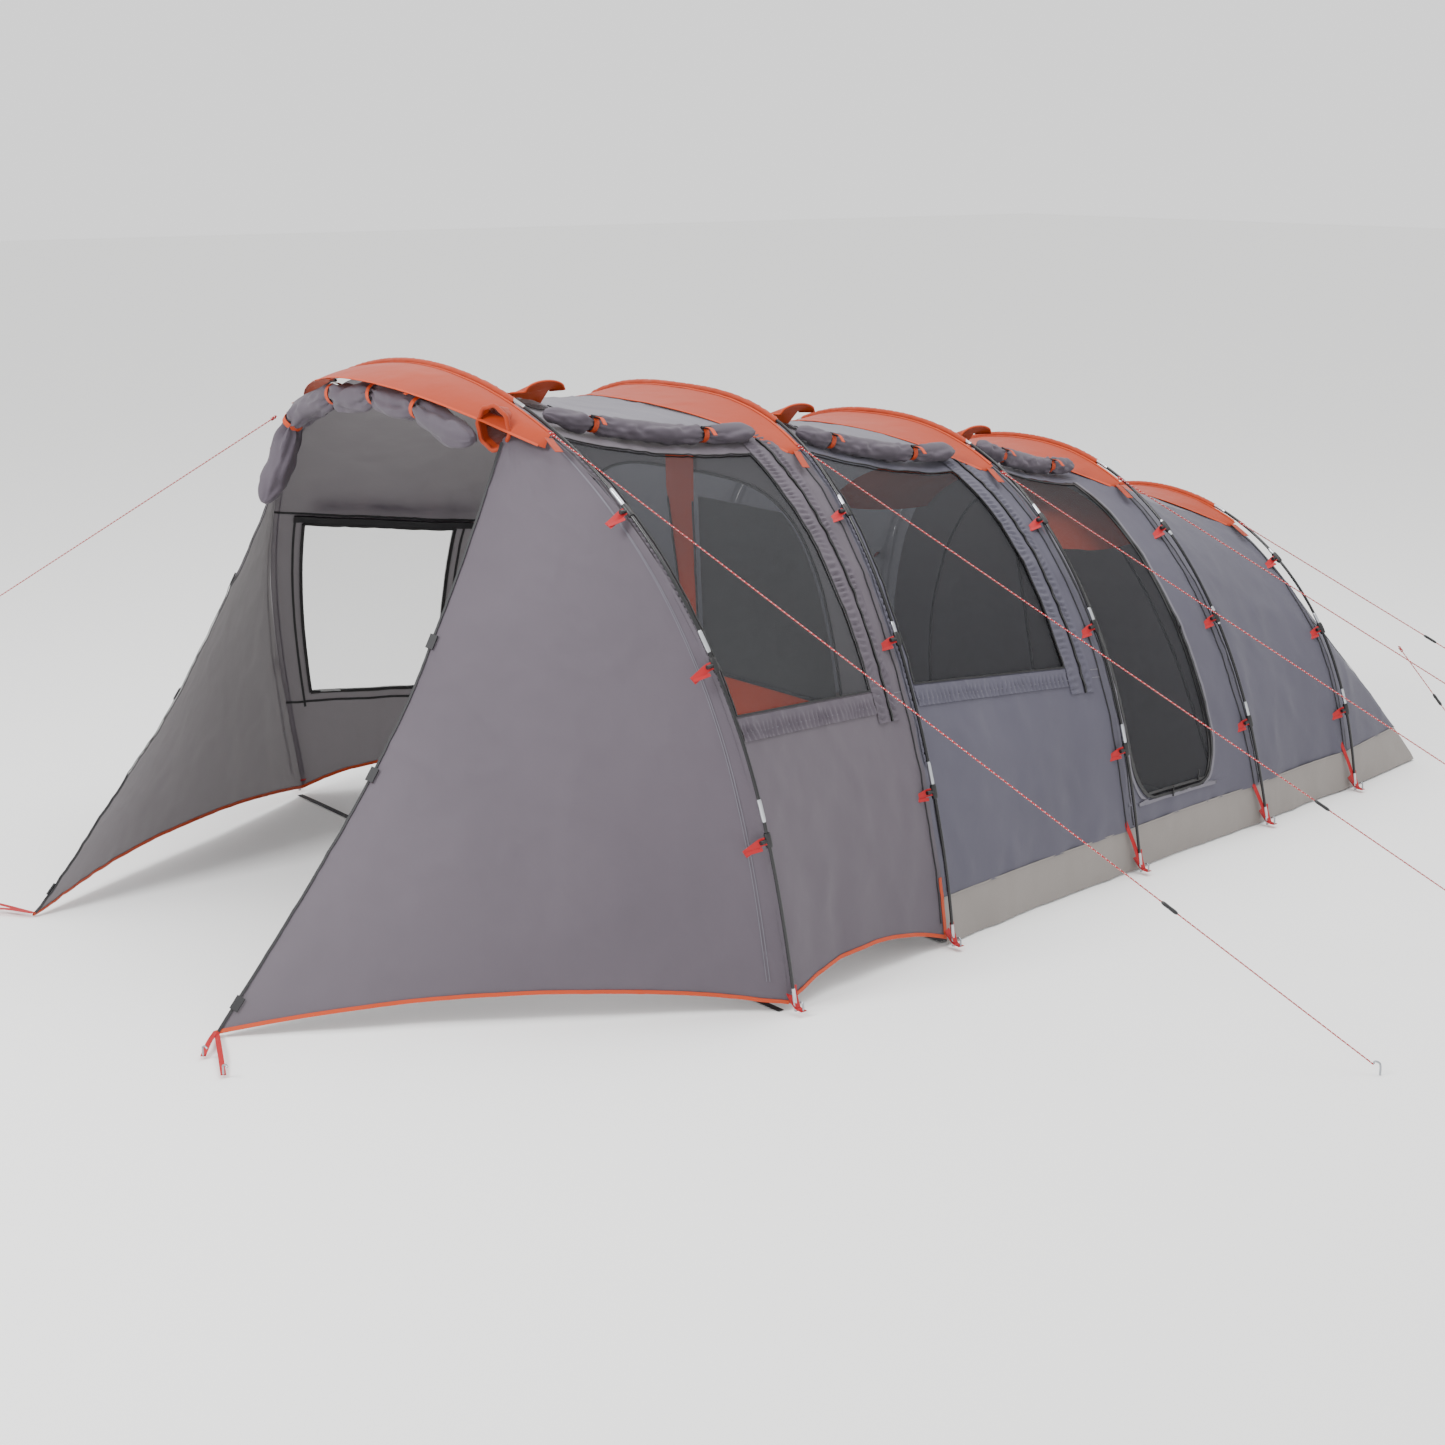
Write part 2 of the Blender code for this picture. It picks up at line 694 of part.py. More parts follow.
def guy_ends(number):
    start, ground = GUYS[number]
    peg = Vector((ground[0], ground[1] - MIDDLE_Y, 0.0))
    way = (peg - start).normalized()
    end = peg + Vector((0, 0, PEG_HEIGHT * 0.6)) - way * 0.012
    return start, end


def build_guys():
    for number in GUYS:
        start, end = guy_ends(number)
        points = [start.lerp(end, share) for share in spread(0, 1, GUY_POINTS)]
        cord(f"guy_line_{number}", points, GUY_RADIUS, CORD)
        build_peg(f"peg_{number}", number)
    for number, share in RUNNERS.items():
        build_runner(number, share)


def build_peg(name, number):
    """The part of a steel peg above the ground, bent over towards the tent."""
    start, ground = GUYS[number]
    foot = Vector((ground[0], ground[1] - MIDDLE_Y, 0.0))
    away = Vector((foot.x - start.x, foot.y - start.y, 0)).normalized()
    points = [foot + away * 0.012 + Vector((0, 0, 0.0005))]
    points.append(points[0] + Vector((0, 0, PEG_HEIGHT * 0.6)))
    points.append(points[1] + Vector((0, 0, PEG_HEIGHT * 0.3)) - away * 0.004)
    points.append(points[2] + Vector((0, 0, PEG_HEIGHT * 0.1)) - away * 0.014)
    tube(name, points, PEG_RADIUS, STEEL)


def build_runner(number, share):
    """A three-hole line tensioner, threaded on its line."""
    start, end = guy_ends(number)
    way = (end - start).normalized()
    side = way.cross(Vector((0, 0, 1))).normalized()
    up = side.cross(way)
    centre = start.lerp(end, share)
    width, length, depth = RUNNER_SIZE
    made = bmesh.new()
    sides = 8
    rings = []
    for along in (-length / 2, length / 2):
        for radius in (None, RUNNER_BORE):
            ring = []
            for step in range(sides):
                turn = 2 * math.pi * (step + 0.5) / sides
                if radius is None:
                    x = math.copysign(min(abs(math.cos(turn)) * width, width / 2), math.cos(turn))
                    y = math.copysign(min(abs(math.sin(turn)) * depth * 1.4, depth / 2), math.sin(turn))
                else:
                    x = math.cos(turn) * radius
                    y = math.sin(turn) * radius
                ring.append(made.verts.new(centre + way * along + side * x + up * y))
            rings.append(ring)
    outer_a, bore_a, outer_b, bore_b = rings
    for step in range(sides):
        after = (step + 1) % sides
        made.faces.new((outer_a[step], outer_a[after], outer_b[after], outer_b[step]))
        made.faces.new((bore_b[step], bore_b[after], bore_a[after], bore_a[step]))
        made.faces.new((outer_a[after], outer_a[step], bore_a[step], bore_a[after]))
        made.faces.new((outer_b[step], outer_b[after], bore_b[after], bore_b[step]))
    finish_mesh(f"runner_{number}", made, NYLON)


def main():
    clear_scene()
    build_poles()
    build_front_bay()
    build_near_walls()
    build_far_wall()
    build_roofs()
    build_rear_end()
    build_wings()
    build_bands()
    build_rolls()
    build_vents()
    build_floor()
    build_skirt()
    build_partitions()
    build_ground_strap()
    build_guys()


main()
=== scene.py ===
"""Looks of a five-arch tunnel tent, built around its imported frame.

Metres, +Z up. The porch opens towards -Y and the side door is on the +X side, as in
the frame. Every surface comes from the same arches and rules that the frame's solids
follow, sampled finely and given the cloth's own undulation.
"""

import logging
import math
from dataclasses import dataclass, field
from enum import Enum
from typing import Any, Callable, Sequence

import bpy
import numpy as np
from bpy.types import Material, Node, NodeSocket, NodeTree, Object
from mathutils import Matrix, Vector, noise


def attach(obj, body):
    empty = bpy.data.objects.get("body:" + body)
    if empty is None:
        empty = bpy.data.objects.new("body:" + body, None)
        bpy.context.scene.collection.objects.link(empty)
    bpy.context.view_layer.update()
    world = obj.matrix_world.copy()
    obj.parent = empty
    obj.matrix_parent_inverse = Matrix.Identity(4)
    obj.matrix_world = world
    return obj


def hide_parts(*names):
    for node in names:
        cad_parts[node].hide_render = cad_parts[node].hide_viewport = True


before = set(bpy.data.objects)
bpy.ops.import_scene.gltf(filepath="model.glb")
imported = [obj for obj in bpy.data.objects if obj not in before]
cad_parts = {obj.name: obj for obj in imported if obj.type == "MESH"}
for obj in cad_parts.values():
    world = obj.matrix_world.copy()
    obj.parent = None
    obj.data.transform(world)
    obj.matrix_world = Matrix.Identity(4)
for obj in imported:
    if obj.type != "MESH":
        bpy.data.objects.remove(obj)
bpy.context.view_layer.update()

LOG = logging.getLogger("tent")

# A sheet's rows of points, and a point with its surface's normal.
Rows = Sequence[Sequence[Vector]]
Frame = tuple[Vector, Vector]

TENT = "tent"
CROWN = math.pi / 2


class Side(Enum):
    """The two long sides of the tent."""

    NEAR = 1
    FAR = -1

    @property
    def label(self) -> str:
        """The side's name in piece names."""
        return self.name.lower()


class Held(Enum):
    HUNG = "hung"
    STRETCHED = "stretched"
    GATHERED = "gathered"
    LAID = "laid"


# ---- small arithmetic


def spread(first: float, last: float, count: int) -> list[float]:
    """Even values.

    Args:
        first: The first value.
        last: The last value.
        count: The number of steps between them.

    Returns:
        count + 1 values, both ends included.
    """
    return [first + (last - first) * step / count for step in range(count + 1)]


def joined(*runs: Sequence[float]) -> list[float]:
    """Runs of values end to end, with each shared end once.

    Args:
        *runs: The runs, each starting where the last one ends.

    Returns:
        One run.
    """
    values = list(runs[0])
    for run in runs[1:]:
        values += run[1:]
    return values


def signed_power(value: float, power: float) -> float:
    """A power that keeps its base's sign."""
    return math.copysign(abs(value) ** power, value)


def evenly(path: Sequence[Vector], count: int) -> list[Vector]:
    """A path read again at even distances.

    Args:
        path: Points close enough together to stand for the curve.
        count: The number of steps wanted.

    Returns:
        count + 1 points.
    """
    points = np.array([list(point) for point in path])
    steps = np.linalg.norm(np.diff(points, axis=0), axis=1)
    along = np.concatenate([[0.0], np.cumsum(steps)])
    wanted = np.linspace(0.0, along[-1], count + 1)
    read = [np.interp(wanted, along, points[:, axis]) for axis in range(3)]
    return [Vector(point) for point in zip(*read)]


def smooth_path(knots: Sequence[Vector], count: int) -> list[Vector]:
    """A Catmull-Rom curve through knots.

    Args:
        knots: The points to pass through.
        count: The number of steps wanted.

    Returns:
        count + 1 points at even distances.
    """
    ends = [knots[0] * 2 - knots[1], *knots, knots[-1] * 2 - knots[-2]]
    points = []
    for index in range(1, len(ends) - 2):
        before, start, end, after = ends[index - 1 : index + 3]
        for share in spread(0, 1, 12)[:-1]:
            square, cube = share**2, share**3
            points.append(
                0.5
                * (
                    start * 2
                    + (end - before) * share
                    + (before * 2 - start * 5 + end * 4 - after) * square
                    + (start * 3 - before - end * 3 + after) * cube
                )
            )
    return evenly([*points, knots[-1]], count)


def bell(distance: float, width: float) -> float:
    """1 at no distance, falling to nothing over a few widths."""
    return math.exp(-((distance / width) ** 2))


# ---- the tent's shape


@dataclass(frozen=True)
class Arch:
    """One pole's arch: a superellipse that leans along the tent."""

    half_width: float
    height: float
    foot_y: float
    lean: float
    bow: float
    side_power: float
    top_power: float

    def point(self, turn: float, inset: float = 0.0) -> Vector:
        """A point of the arch, at the same share of the height on every arch.

        Args:
            turn: 0 at the +X foot, pi at the -X foot.
            inset: How far inside the pole's own line the point lies.

        Returns:
            The point, in the frame's metres.
        """
        share = abs(math.sin(turn)) ** 0.87
        sine = min(share ** (self.top_power / 2), 1.0)
        cosine = math.copysign(math.sqrt(1 - sine * sine), math.cos(turn))
        across = (self.half_width - inset) * signed_power(cosine, 2 / self.side_power)
        along = self.foot_y + self.lean * share * (1 + self.bow * (1 - share))
        return Vector((across, along - 1.4531, (self.height - inset) * share))

    def turn_at(self, height: float, inset: float) -> float:
        """The turn at a height, on the +X side."""
        return math.asin((height / (self.height - inset)) ** (1 / 0.87))

    def run(self, first: float, last: float, count: int, inset: float = 0.0) -> list[Vector]:
        """Points at even distances along the arch.

        Args:
            first: The turn to start from.
            last: The turn to end at.
            count: The number of steps.
            inset: How far inside the pole's line.

        Returns:
            count + 1 points.
        """
        fine = []
        for share in spread(-1, 1, 400):
            middle = (first + last) / 2
            turn = middle + (last - first) / 2 * share
            fine.append(self.point(turn, inset))
        return evenly(fine, count)


@dataclass(frozen=True)
class TentForm:
    """The arches and the rules for what is stretched over and between them."""

    arches: tuple[Arch, ...] = (
        Arch(1.82, 2.13, -0.01, -0.36, -0.01, 1.96, 2.93),
        Arch(1.64, 1.97, 0.89, -0.05, 0.80, 2.83, 1.50),
        Arch(1.41, 1.79, 2.15, -0.23, 0.53, 2.27, 2.63),
        Arch(1.26, 1.62, 3.11, -0.32, 0.28, 2.25, 2.29),
        Arch(1.12, 1.32, 3.89, -0.22, 0.15, 2.01, 2.55),
    )
    middle_y: float = 1.4531
    inset: float = 0.035
    roof_sag: float = 0.07
    wall_sag: float = 0.012
    hem_low: float = 0.035
    hem_rise: float = 0.085
    wing_tip: tuple[float, float] = (0.80, -1.70)
    wing_top: float = 1.19
    rear_corner: tuple[float, float] = (0.93, 4.58)
    band_first: float = 1.12
    band_width: float = 0.24
    peg_height: float = 0.045
    guys: dict[int, tuple[int, float, tuple[float, float]]] = field(
        default_factory=lambda: {
            1: (1, 1.10, (3.39, 1.13)),
            2: (2, 1.10, (3.11, 2.47)),
            3: (3, 1.06, (2.80, 3.50)),
            4: (4, 1.11, (2.36, 4.45)),
            5: (5, 1.08, (2.32, 4.82)),
            6: (0, 0.0, (1.50, 4.44)),
            7: (1, 2.18, (-3.80, -1.95)),
        }
    )

    def bay(self, bay: int, turn: float, share: float, inset: float | None = None) -> Vector:
        """A point of the cloth between two arches.

        Args:
            bay: 0 for the bay behind the first arch.
            turn: 0 at the +X foot, pi at the -X foot.
            share: 0 at the bay's front arch, 1 at its rear arch.
            inset: How far inside the poles' lines, if not where the cloth hangs.

        Returns:
            The point on the smooth cloth.
        """
        inset = self.inset if inset is None else inset
        front = self.arches[bay].point(turn, inset)
        back = self.arches[bay + 1].point(turn, inset)
        slack = 4 * share * (1 - share)
        steep = math.sin(turn) ** 4
        point = front.lerp(back, share)
        point.z -= self.roof_sag * slack * steep
        point.x -= math.copysign(self.wall_sag * slack * (1 - steep), point.x)
        return point

    def turn_at(self, bay: int, share: float, height: float) -> float:
        """The +X turn of a bay's cloth at a height."""
        front = self.arches[bay].turn_at(height, self.inset)
        back = self.arches[bay + 1].turn_at(height, self.inset)
        return front + (back - front) * share

    def rear_base(self, turn: float) -> Vector:
        """A point of the rear end's ground line, from one last foot to the other."""
        corner_turn = 0.55
        foot = self.arches[-1].half_width - self.inset
        foot_y = self.arches[-1].foot_y
        side = min(turn, math.pi - turn)
        sign = 1.0 if turn < CROWN else -1.0
        if side < corner_turn:
            share = side / corner_turn
            across = foot + (self.rear_corner[0] - foot) * share
            along = foot_y + (self.rear_corner[1] - foot_y) * share
        else:
            share = (side - corner_turn) / (CROWN - corner_turn)
            across = self.rear_corner[0] * (1 - share)
            along = self.rear_corner[1] + 0.03 * math.sin(share * CROWN)
        return Vector((sign * across, along - self.middle_y, 0.0))

    def rear(self, turn: float, share: float) -> Vector:
        """A point of the rear end, from the last arch at 0 to the ground at 1."""
        top = self.arches[-1].point(turn, self.inset)
        swell = 0.05 * math.sin(math.pi * share) * math.sin(turn)
        return top.lerp(self.rear_base(turn), share) + Vector((0, swell, swell * 0.5))

    def wing(self, height_share: float, share: float, side: Side) -> Vector:
        """A point of a porch wing, from the first arch to its free front edge.

        Args:
            height_share: 0 at the hem, 1 at the top.
            share: 0 at the arch, 1 at the front edge.
            side: The side of the tent.

        Returns:
            The point on the smooth cloth.
        """
        arch = self.arches[0]
        low_turn = arch.turn_at(self.hem_low, self.inset)
        turn = low_turn + (self.wing_top - low_turn) * height_share
        at_arch = arch.point(turn, self.inset)
        top = arch.point(self.wing_top, self.inset) + Vector((0, -0.12, -0.04))
        tip = Vector((self.wing_tip[0], self.wing_tip[1] - self.middle_y, 0.012))
        rise = max(height_share, 0.0) ** 0.94
        front = tip.lerp(top, rise)
        front.y += 0.13 * math.sin(math.pi * rise)
        point = at_arch.lerp(front, share)
        point.z += self.hem_rise * 4 * share * (1 - share) * (1 - height_share) ** 3
        point.x *= side.value
        return point

    def band(self, number: int, turn: float, share: float) -> Vector:
        """A point of the crescent in front of an arch's crown.

        Args:
            number: The arch's number, from 1.
            turn: The turn along the arch.
            share: 0 at the pole, 1 at the crescent's front edge.

        Returns:
            The point.
        """
        reach = (turn - self.band_first) / (math.pi - 2 * self.band_first)
        reach = min(max(reach, 0.0), 1.0)
        width = 0.03 + self.band_width * math.sin(math.pi * reach) ** 0.8
        inset = self.inset - 0.027 * (1 - share) - 0.005 * share
        if number == 1:
            point = self.arches[0].point(turn, self.inset - 0.027)
            return point - Vector((0, 0.014 + width * share, 0.045 * share**2))
        front = self.arches[number - 2].point(turn)
        back = self.arches[number - 1].point(turn)
        fore = 1 - (0.014 + width * share) / (back - front).length
        return self.bay(number - 2, turn, fore, inset)

    def guy_ends(self, number: int) -> tuple[Vector, Vector]:
        """Where a guy line is tied on, and where it meets its peg."""
        arch_number, turn, ground = self.guys[number]
        if arch_number:
            start = self.arches[arch_number - 1].point(turn, -0.035)
            start.y -= 0.07
        else:
            start = Vector((1.02, 4.27 - self.middle_y, 0.62))
        peg = Vector((ground[0], ground[1] - self.middle_y, 0.0))
        way = (peg - start).normalized()
        return start, peg + Vector((0, 0, self.peg_height * 0.6)) - way * 0.012


FORM = TentForm()


def from_axis(point: Vector) -> Vector:
    """The way out of the tunnel at a point."""
    return Vector((point.x, 0, point.z - 0.5))


@dataclass(frozen=True)
class Drape:
    """How far cloth stands off its smooth shape.

    Broad swells come from the wind and the cut, and creases from tension between the
    points that hold the cloth.
    """

    swell: float = 0.010
    crease: float = 0.0075
    grain: Vector = field(default_factory=lambda: Vector((2.6, 5.4, 2.6)))

    def height(self, point: Vector) -> float:
        """The cloth's height over its smooth shape at a point."""
        broad = noise.noise(point * 1.9 + Vector((3.1, 0.7, 5.3)))
        lean = Vector((point.x + point.z * 0.5, point.y + point.z * 0.35, point.z - point.x * 0.2))
        stretched = Vector((lean.x * self.grain.x, lean.y * self.grain.y, lean.z * self.grain.z))
        ridge = max(1 - 3.2 * abs(noise.noise(stretched)), 0.0)
        fold = max(1 - 3.6 * abs(noise.noise(stretched * 2.3 + Vector((9, 4, 1)))), 0.0)
        pull = Vector((point.x * 1.2, point.y * 9.0, point.z * 1.2 + point.y * 3.0))
        tension = noise.noise(pull) * max(noise.noise(point * 1.3 + Vector((5, 5, 5))) + 0.25, 0.0)
        creases = ridge**2 * 0.7 + fold**2 * 0.4 + 1.6 * tension
        return self.swell * broad + self.crease * creases


TAUT = Drape(0.003, 0.0015)


class Surface:
    """A sheet of the tent as a function of two values, with its drape on top."""

    def __init__(
        self,
        at: Callable[[float, float], Vector],
        outward: Callable[[Vector], Vector] = from_axis,
        drape: Drape = Drape(),
    ) -> None:
        """Keeps the smooth shape and its drape.

        Args:
            at: The smooth shape's point for two values.
            outward: The way out at a point, which says which side is the outside.
            drape: The cloth's undulation.
        """
        self.at = at
        self.outward = outward
        self.drape = drape

    def normal(self, u: float, v: float) -> Vector:
        """The unit normal on the outside."""
        step = 1e-3
        across = self.at(u + step, v) - self.at(u - step, v)
        along = self.at(u, v + step) - self.at(u, v - step)
        found = across.cross(along).normalized()
        return found if found.dot(self.outward(self.at(u, v))) > 0 else -found

    def cloth(self, u: float, v: float, lift: float = 0.0) -> Vector:
        """A point of the draped cloth, lifted off it if asked."""
        point = self.at(u, v)
        return point + self.normal(u, v) * (self.drape.height(point) + lift)

    def frame_at(self, u: float, v: float, lift: float = 0.0) -> Frame:
        """The cloth's point and its normal."""
        return self.cloth(u, v, lift), self.normal(u, v)


def bay_surface(bay: int, side: Side, drape: Drape = Drape()) -> Surface:
    """The cloth of one bay on one side, with the turn rising from that side's foot."""
    if side is Side.NEAR:
        return Surface(lambda turn, share: FORM.bay(bay, turn, share), drape=drape)
    return Surface(lambda turn, share: FORM.bay(bay, math.pi - turn, share), drape=drape)


# ---- finishes


def linear(hex_colour: str) -> tuple[float, float, float, float]:
    """An sRGB hex colour as linear RGBA."""
    values = [int(hex_colour[at : at + 2], 16) / 255 for at in (1, 3, 5)]
    line = [v / 12.92 if v <= 0.04045 else ((v + 0.055) / 1.055) ** 2.4 for v in values]
    return (*line, 1.0)


def add_node(
    tree: NodeTree,
    kind: str,
    inputs: dict[str | int, Any] | None = None,
    settings: dict[str, Any] | None = None,
) -> Node:
    """Adds a node to a material.

    Args:
        tree: The material's nodes.
        kind: The shader node's type.
        inputs: Its sockets: a value is set on the socket, and another socket is linked.
        settings: Its properties.

    Returns:
        The node.
    """
    node = tree.nodes.new(f"ShaderNode{kind}")
    for name, value in (settings or {}).items():
        setattr(node, name, value)
    for name, value in (inputs or {}).items():
        if isinstance(value, NodeSocket):
            tree.links.new(value, node.inputs[name])
        else:
            node.inputs[name].default_value = value
    return node


def start_material(name: str) -> tuple[Material, NodeTree]:
    """A new material with no nodes."""
    made = bpy.data.materials.new(name)
    made.use_nodes = True
    made.node_tree.nodes.clear()
    return made, made.node_tree


def waves(tree: NodeTree, vector: NodeSocket, axis: str, period: float) -> Any:
    """A sine pattern along one direction of a vector that is in metres.

    Args:
        tree: The material's nodes.
        vector: The coordinates.
        axis: X or Y.
        period: The distance between two crests.

    Returns:
        The pattern's socket.
    """
    # A Wave texture of scale 1 has its crests 0.31416 apart.
    settings = {"wave_type": "BANDS", "bands_direction": axis}
    inputs = {"Vector": vector, "Scale": 0.31416 / period}
    return add_node(tree, "TexWave", inputs, settings).outputs["Fac"]


class Slot(Enum):
    """The record's material slots."""

    CLOTH = "polyester"
    ORANGE = "orange_polyester"
    MESH = "insect_mesh"
    FILM = "clear_film"
    FLOOR = "floor_sheeting"
    WEBBING = "black_webbing"
    POLE = "fibreglass_pole"
    STEEL = "steel_peg"
    PLASTIC = "runner_plastic"
    CORD = "guy_cord"


@dataclass(frozen=True)
class Finish:
    """A finish that a piece can be given, made once and then shared."""

    name: str
    slot: Slot

    def nodes(self, tree: NodeTree) -> NodeSocket:
        """Adds the finish's nodes and returns its shader socket."""
        raise NotImplementedError

    def material(self) -> Material:
        """The finish as a material."""
        known = bpy.data.materials.get(self.name)
        if known:
            return known
        made, tree = start_material(self.name)
        shader = self.nodes(tree)
        add_node(tree, "OutputMaterial", {"Surface": shader})
        return made


@dataclass(frozen=True)
class CoatedPolyester(Finish):
    """Plain-woven polyester with a thin polyurethane coat.

    The weave scatters light so the face is matt with a faint sheen, the coat keeps sharp
    little creases, and some daylight comes through.
    """

    colour: str = "#605862"
    faded: str = "#4F4852"
    through: float = 0.22
    glow: str = "#8C8A88"
    roughness: float = 0.68
    crease_depth: float = 1.0

    def nodes(self, tree: NodeTree) -> NodeSocket:
        """Adds the cloth's nodes."""
        place = add_node(tree, "TexCoord")
        patchy = add_node(tree, "TexNoise", {
            "Vector": place.outputs["Object"], "Scale": 1.7, "Detail": 5.0,
        })
        tone = add_node(tree, "Mix", {
            0: patchy.outputs["Fac"], 6: linear(self.colour), 7: linear(self.faded),
        }, {"data_type": "RGBA"})
        # Creases a hand's width long that the coating holds.
        creased = add_node(tree, "TexNoise", {
            "Vector": place.outputs["Object"], "Scale": 3.4, "Detail": 3.0, "Distortion": 0.8,
        }, {"noise_type": "RIDGED_MULTIFRACTAL"})
        crumple = add_node(tree, "TexNoise", {
            "Vector": place.outputs["Object"], "Scale": 16.0, "Detail": 4.0,
        })
        broad = add_node(tree, "Bump", {
            "Strength": self.crease_depth, "Distance": 0.012, "Height": creased.outputs["Fac"],
        })
        small = add_node(tree, "Bump", {
            "Strength": self.crease_depth * 0.5,
            "Distance": 0.004,
            "Height": crumple.outputs["Fac"],
            "Normal": broad.outputs["Normal"],
        })
        # Threads are 0.35 mm apart; they are drawn at 2.5 mm, the finest that shows.
        metres = place.outputs["UV"]
        warp = waves(tree, metres, "X", 0.0025)
        weft = waves(tree, metres, "Y", 0.0025)
        threads = add_node(tree, "Math", {0: warp, 1: weft}, {"operation": "ADD"})
        weave = add_node(tree, "Bump", {
            "Strength": 0.18,
            "Distance": 0.0004,
            "Height": threads.outputs[0],
            "Normal": small.outputs["Normal"],
        })
        face = add_node(tree, "BsdfPrincipled", {
            "Base Color": tone.outputs[2],
            "Roughness": self.roughness,
            "IOR": 1.5,
            "Specular IOR Level": 0.35,
            "Sheen Weight": 0.12,
            "Sheen Roughness": 0.5,
            "Normal": weave.outputs["Normal"],
        })
        daylight = add_node(tree, "BsdfTranslucent", {
            "Color": linear(self.glow), "Normal": broad.outputs["Normal"],
        })
        return add_node(tree, "MixShader", {
            0: self.through, 1: face.outputs[0], 2: daylight.outputs[0],
        }).outputs[0]


@dataclass(frozen=True)
class KnittedMesh(Finish):
    """Black polyester knitted into insect mesh: mostly holes, so it darkens what is behind."""

    colour: str = "#2B2C30"
    cover: float = 0.46

    def nodes(self, tree: NodeTree) -> NodeSocket:
        """Adds the mesh's nodes."""
        place = add_node(tree, "TexCoord")
        # Holes are 1.2 mm apart; they are drawn at 3 mm so that they show close up.
        warp = waves(tree, place.outputs["UV"], "X", 0.003)
        weft = waves(tree, place.outputs["UV"], "Y", 0.003)
        thread = add_node(tree, "Math", {0: warp, 1: weft}, {"operation": "MAXIMUM"})
        cover = add_node(tree, "MapRange", {
            "Value": thread.outputs[0], "To Min": self.cover - 0.07, "To Max": self.cover + 0.05,
        })
        ridge = add_node(tree, "Bump", {
            "Strength": 0.3, "Distance": 0.0004, "Height": thread.outputs[0],
        })
        return add_node(tree, "BsdfPrincipled", {
            "Base Color": linear(self.colour),
            "Roughness": 0.75,
            "Alpha": cover.outputs[0],
            "Normal": ridge.outputs["Normal"],
        }).outputs[0]


@dataclass(frozen=True)
class VinylFilm(Finish):
    """Clear cast vinyl film: glossy, a little milky and never quite flat."""

    colour: str = "#E9ECEB"

    def nodes(self, tree: NodeTree) -> NodeSocket:
        """Adds the film's nodes."""
        place = add_node(tree, "TexCoord")
        ripple = add_node(tree, "TexNoise", {
            "Vector": place.outputs["Object"], "Scale": 9.0, "Detail": 3.0,
        })
        bent = add_node(tree, "Bump", {
            "Strength": 0.35, "Distance": 0.006, "Height": ripple.outputs["Fac"],
        })
        return add_node(tree, "BsdfPrincipled", {
            "Base Color": linear(self.colour),
            "Roughness": 0.12,
            "IOR": 1.53,
            "Alpha": 0.42,
            "Normal": bent.outputs["Normal"],
        }).outputs[0]


@dataclass(frozen=True)
class WovenWebbing(Finish):
    """Polypropylene tape woven in ribs, matt, with a painted highlight: a lighter colour on the crest
    of each rib.
    """

    colour: str = "#17171A"
    rib: float = 0.003

    def nodes(self, tree: NodeTree) -> NodeSocket:
        """Adds the tape's nodes."""
        place = add_node(tree, "TexCoord")
        # Ribs are 1.5 mm apart and drawn at twice that so that they show.
        ribs = waves(tree, place.outputs["UV"], "X", self.rib)
        # The lighter colour mixed onto each rib is a painted highlight, not a real change of the tape's
        # colour.
        light = add_node(tree, "HueSaturation", {"Color": linear(self.colour), "Value": 1.25})
        tone = add_node(tree, "Mix", {
            0: ribs, 6: linear(self.colour), 7: light.outputs[0],
        }, {"data_type": "RGBA"})
        raised = add_node(tree, "Bump", {"Strength": 0.5, "Distance": 0.0006, "Height": ribs})
        return add_node(tree, "BsdfPrincipled", {
            "Base Color": tone.outputs[2], "Roughness": 0.6, "Normal": raised.outputs["Normal"],
        }).outputs[0]


@dataclass(frozen=True)
class CoilZip(Finish):
    """A nylon coil zip sewn on tape: two rows of small glossy teeth."""

    colour: str = "#0E0E10"

    def nodes(self, tree: NodeTree) -> NodeSocket:
        """Adds the zip's nodes."""
        place = add_node(tree, "TexCoord")
        # A size 8 coil has a tooth every 1.3 mm, drawn here every 4 mm.
        teeth = waves(tree, place.outputs["UV"], "X", 0.004)
        sheen = add_node(tree, "MapRange", {"Value": teeth, "To Min": 0.28, "To Max": 0.6})
        raised = add_node(tree, "Bump", {"Strength": 0.8, "Distance": 0.001, "Height": teeth})
        return add_node(tree, "BsdfPrincipled", {
            "Base Color": linear(self.colour),
            "Roughness": sheen.outputs[0],
            "Normal": raised.outputs["Normal"],
        }).outputs[0]


@dataclass(frozen=True)
class HardSurface(Finish):
    """A smooth solid finish, with the fine grain that its making leaves."""

    colour: str = "#101012"
    roughness: float = 0.3
    metallic: float = 0.0
    grain: float = 400.0
    depth: float = 0.0001
    coat: float = 0.0

    def nodes(self, tree: NodeTree) -> NodeSocket:
        """Adds the solid's nodes."""
        place = add_node(tree, "TexCoord")
        speckle = add_node(tree, "TexNoise", {
            "Vector": place.outputs["Object"], "Scale": self.grain, "Detail": 3.0,
        })
        worn = add_node(tree, "MapRange", {
            "Value": speckle.outputs["Fac"],
            "To Min": self.roughness * 0.75,
            "To Max": self.roughness * 1.25,
        })
        fine = add_node(tree, "Bump", {
            "Strength": 0.25, "Distance": self.depth, "Height": speckle.outputs["Fac"],
        })
        return add_node(tree, "BsdfPrincipled", {
            "Base Color": linear(self.colour),
            "Roughness": worn.outputs[0],
            "Metallic": self.metallic,
            "Coat Weight": self.coat,
            "Normal": fine.outputs["Normal"],
        }).outputs[0]


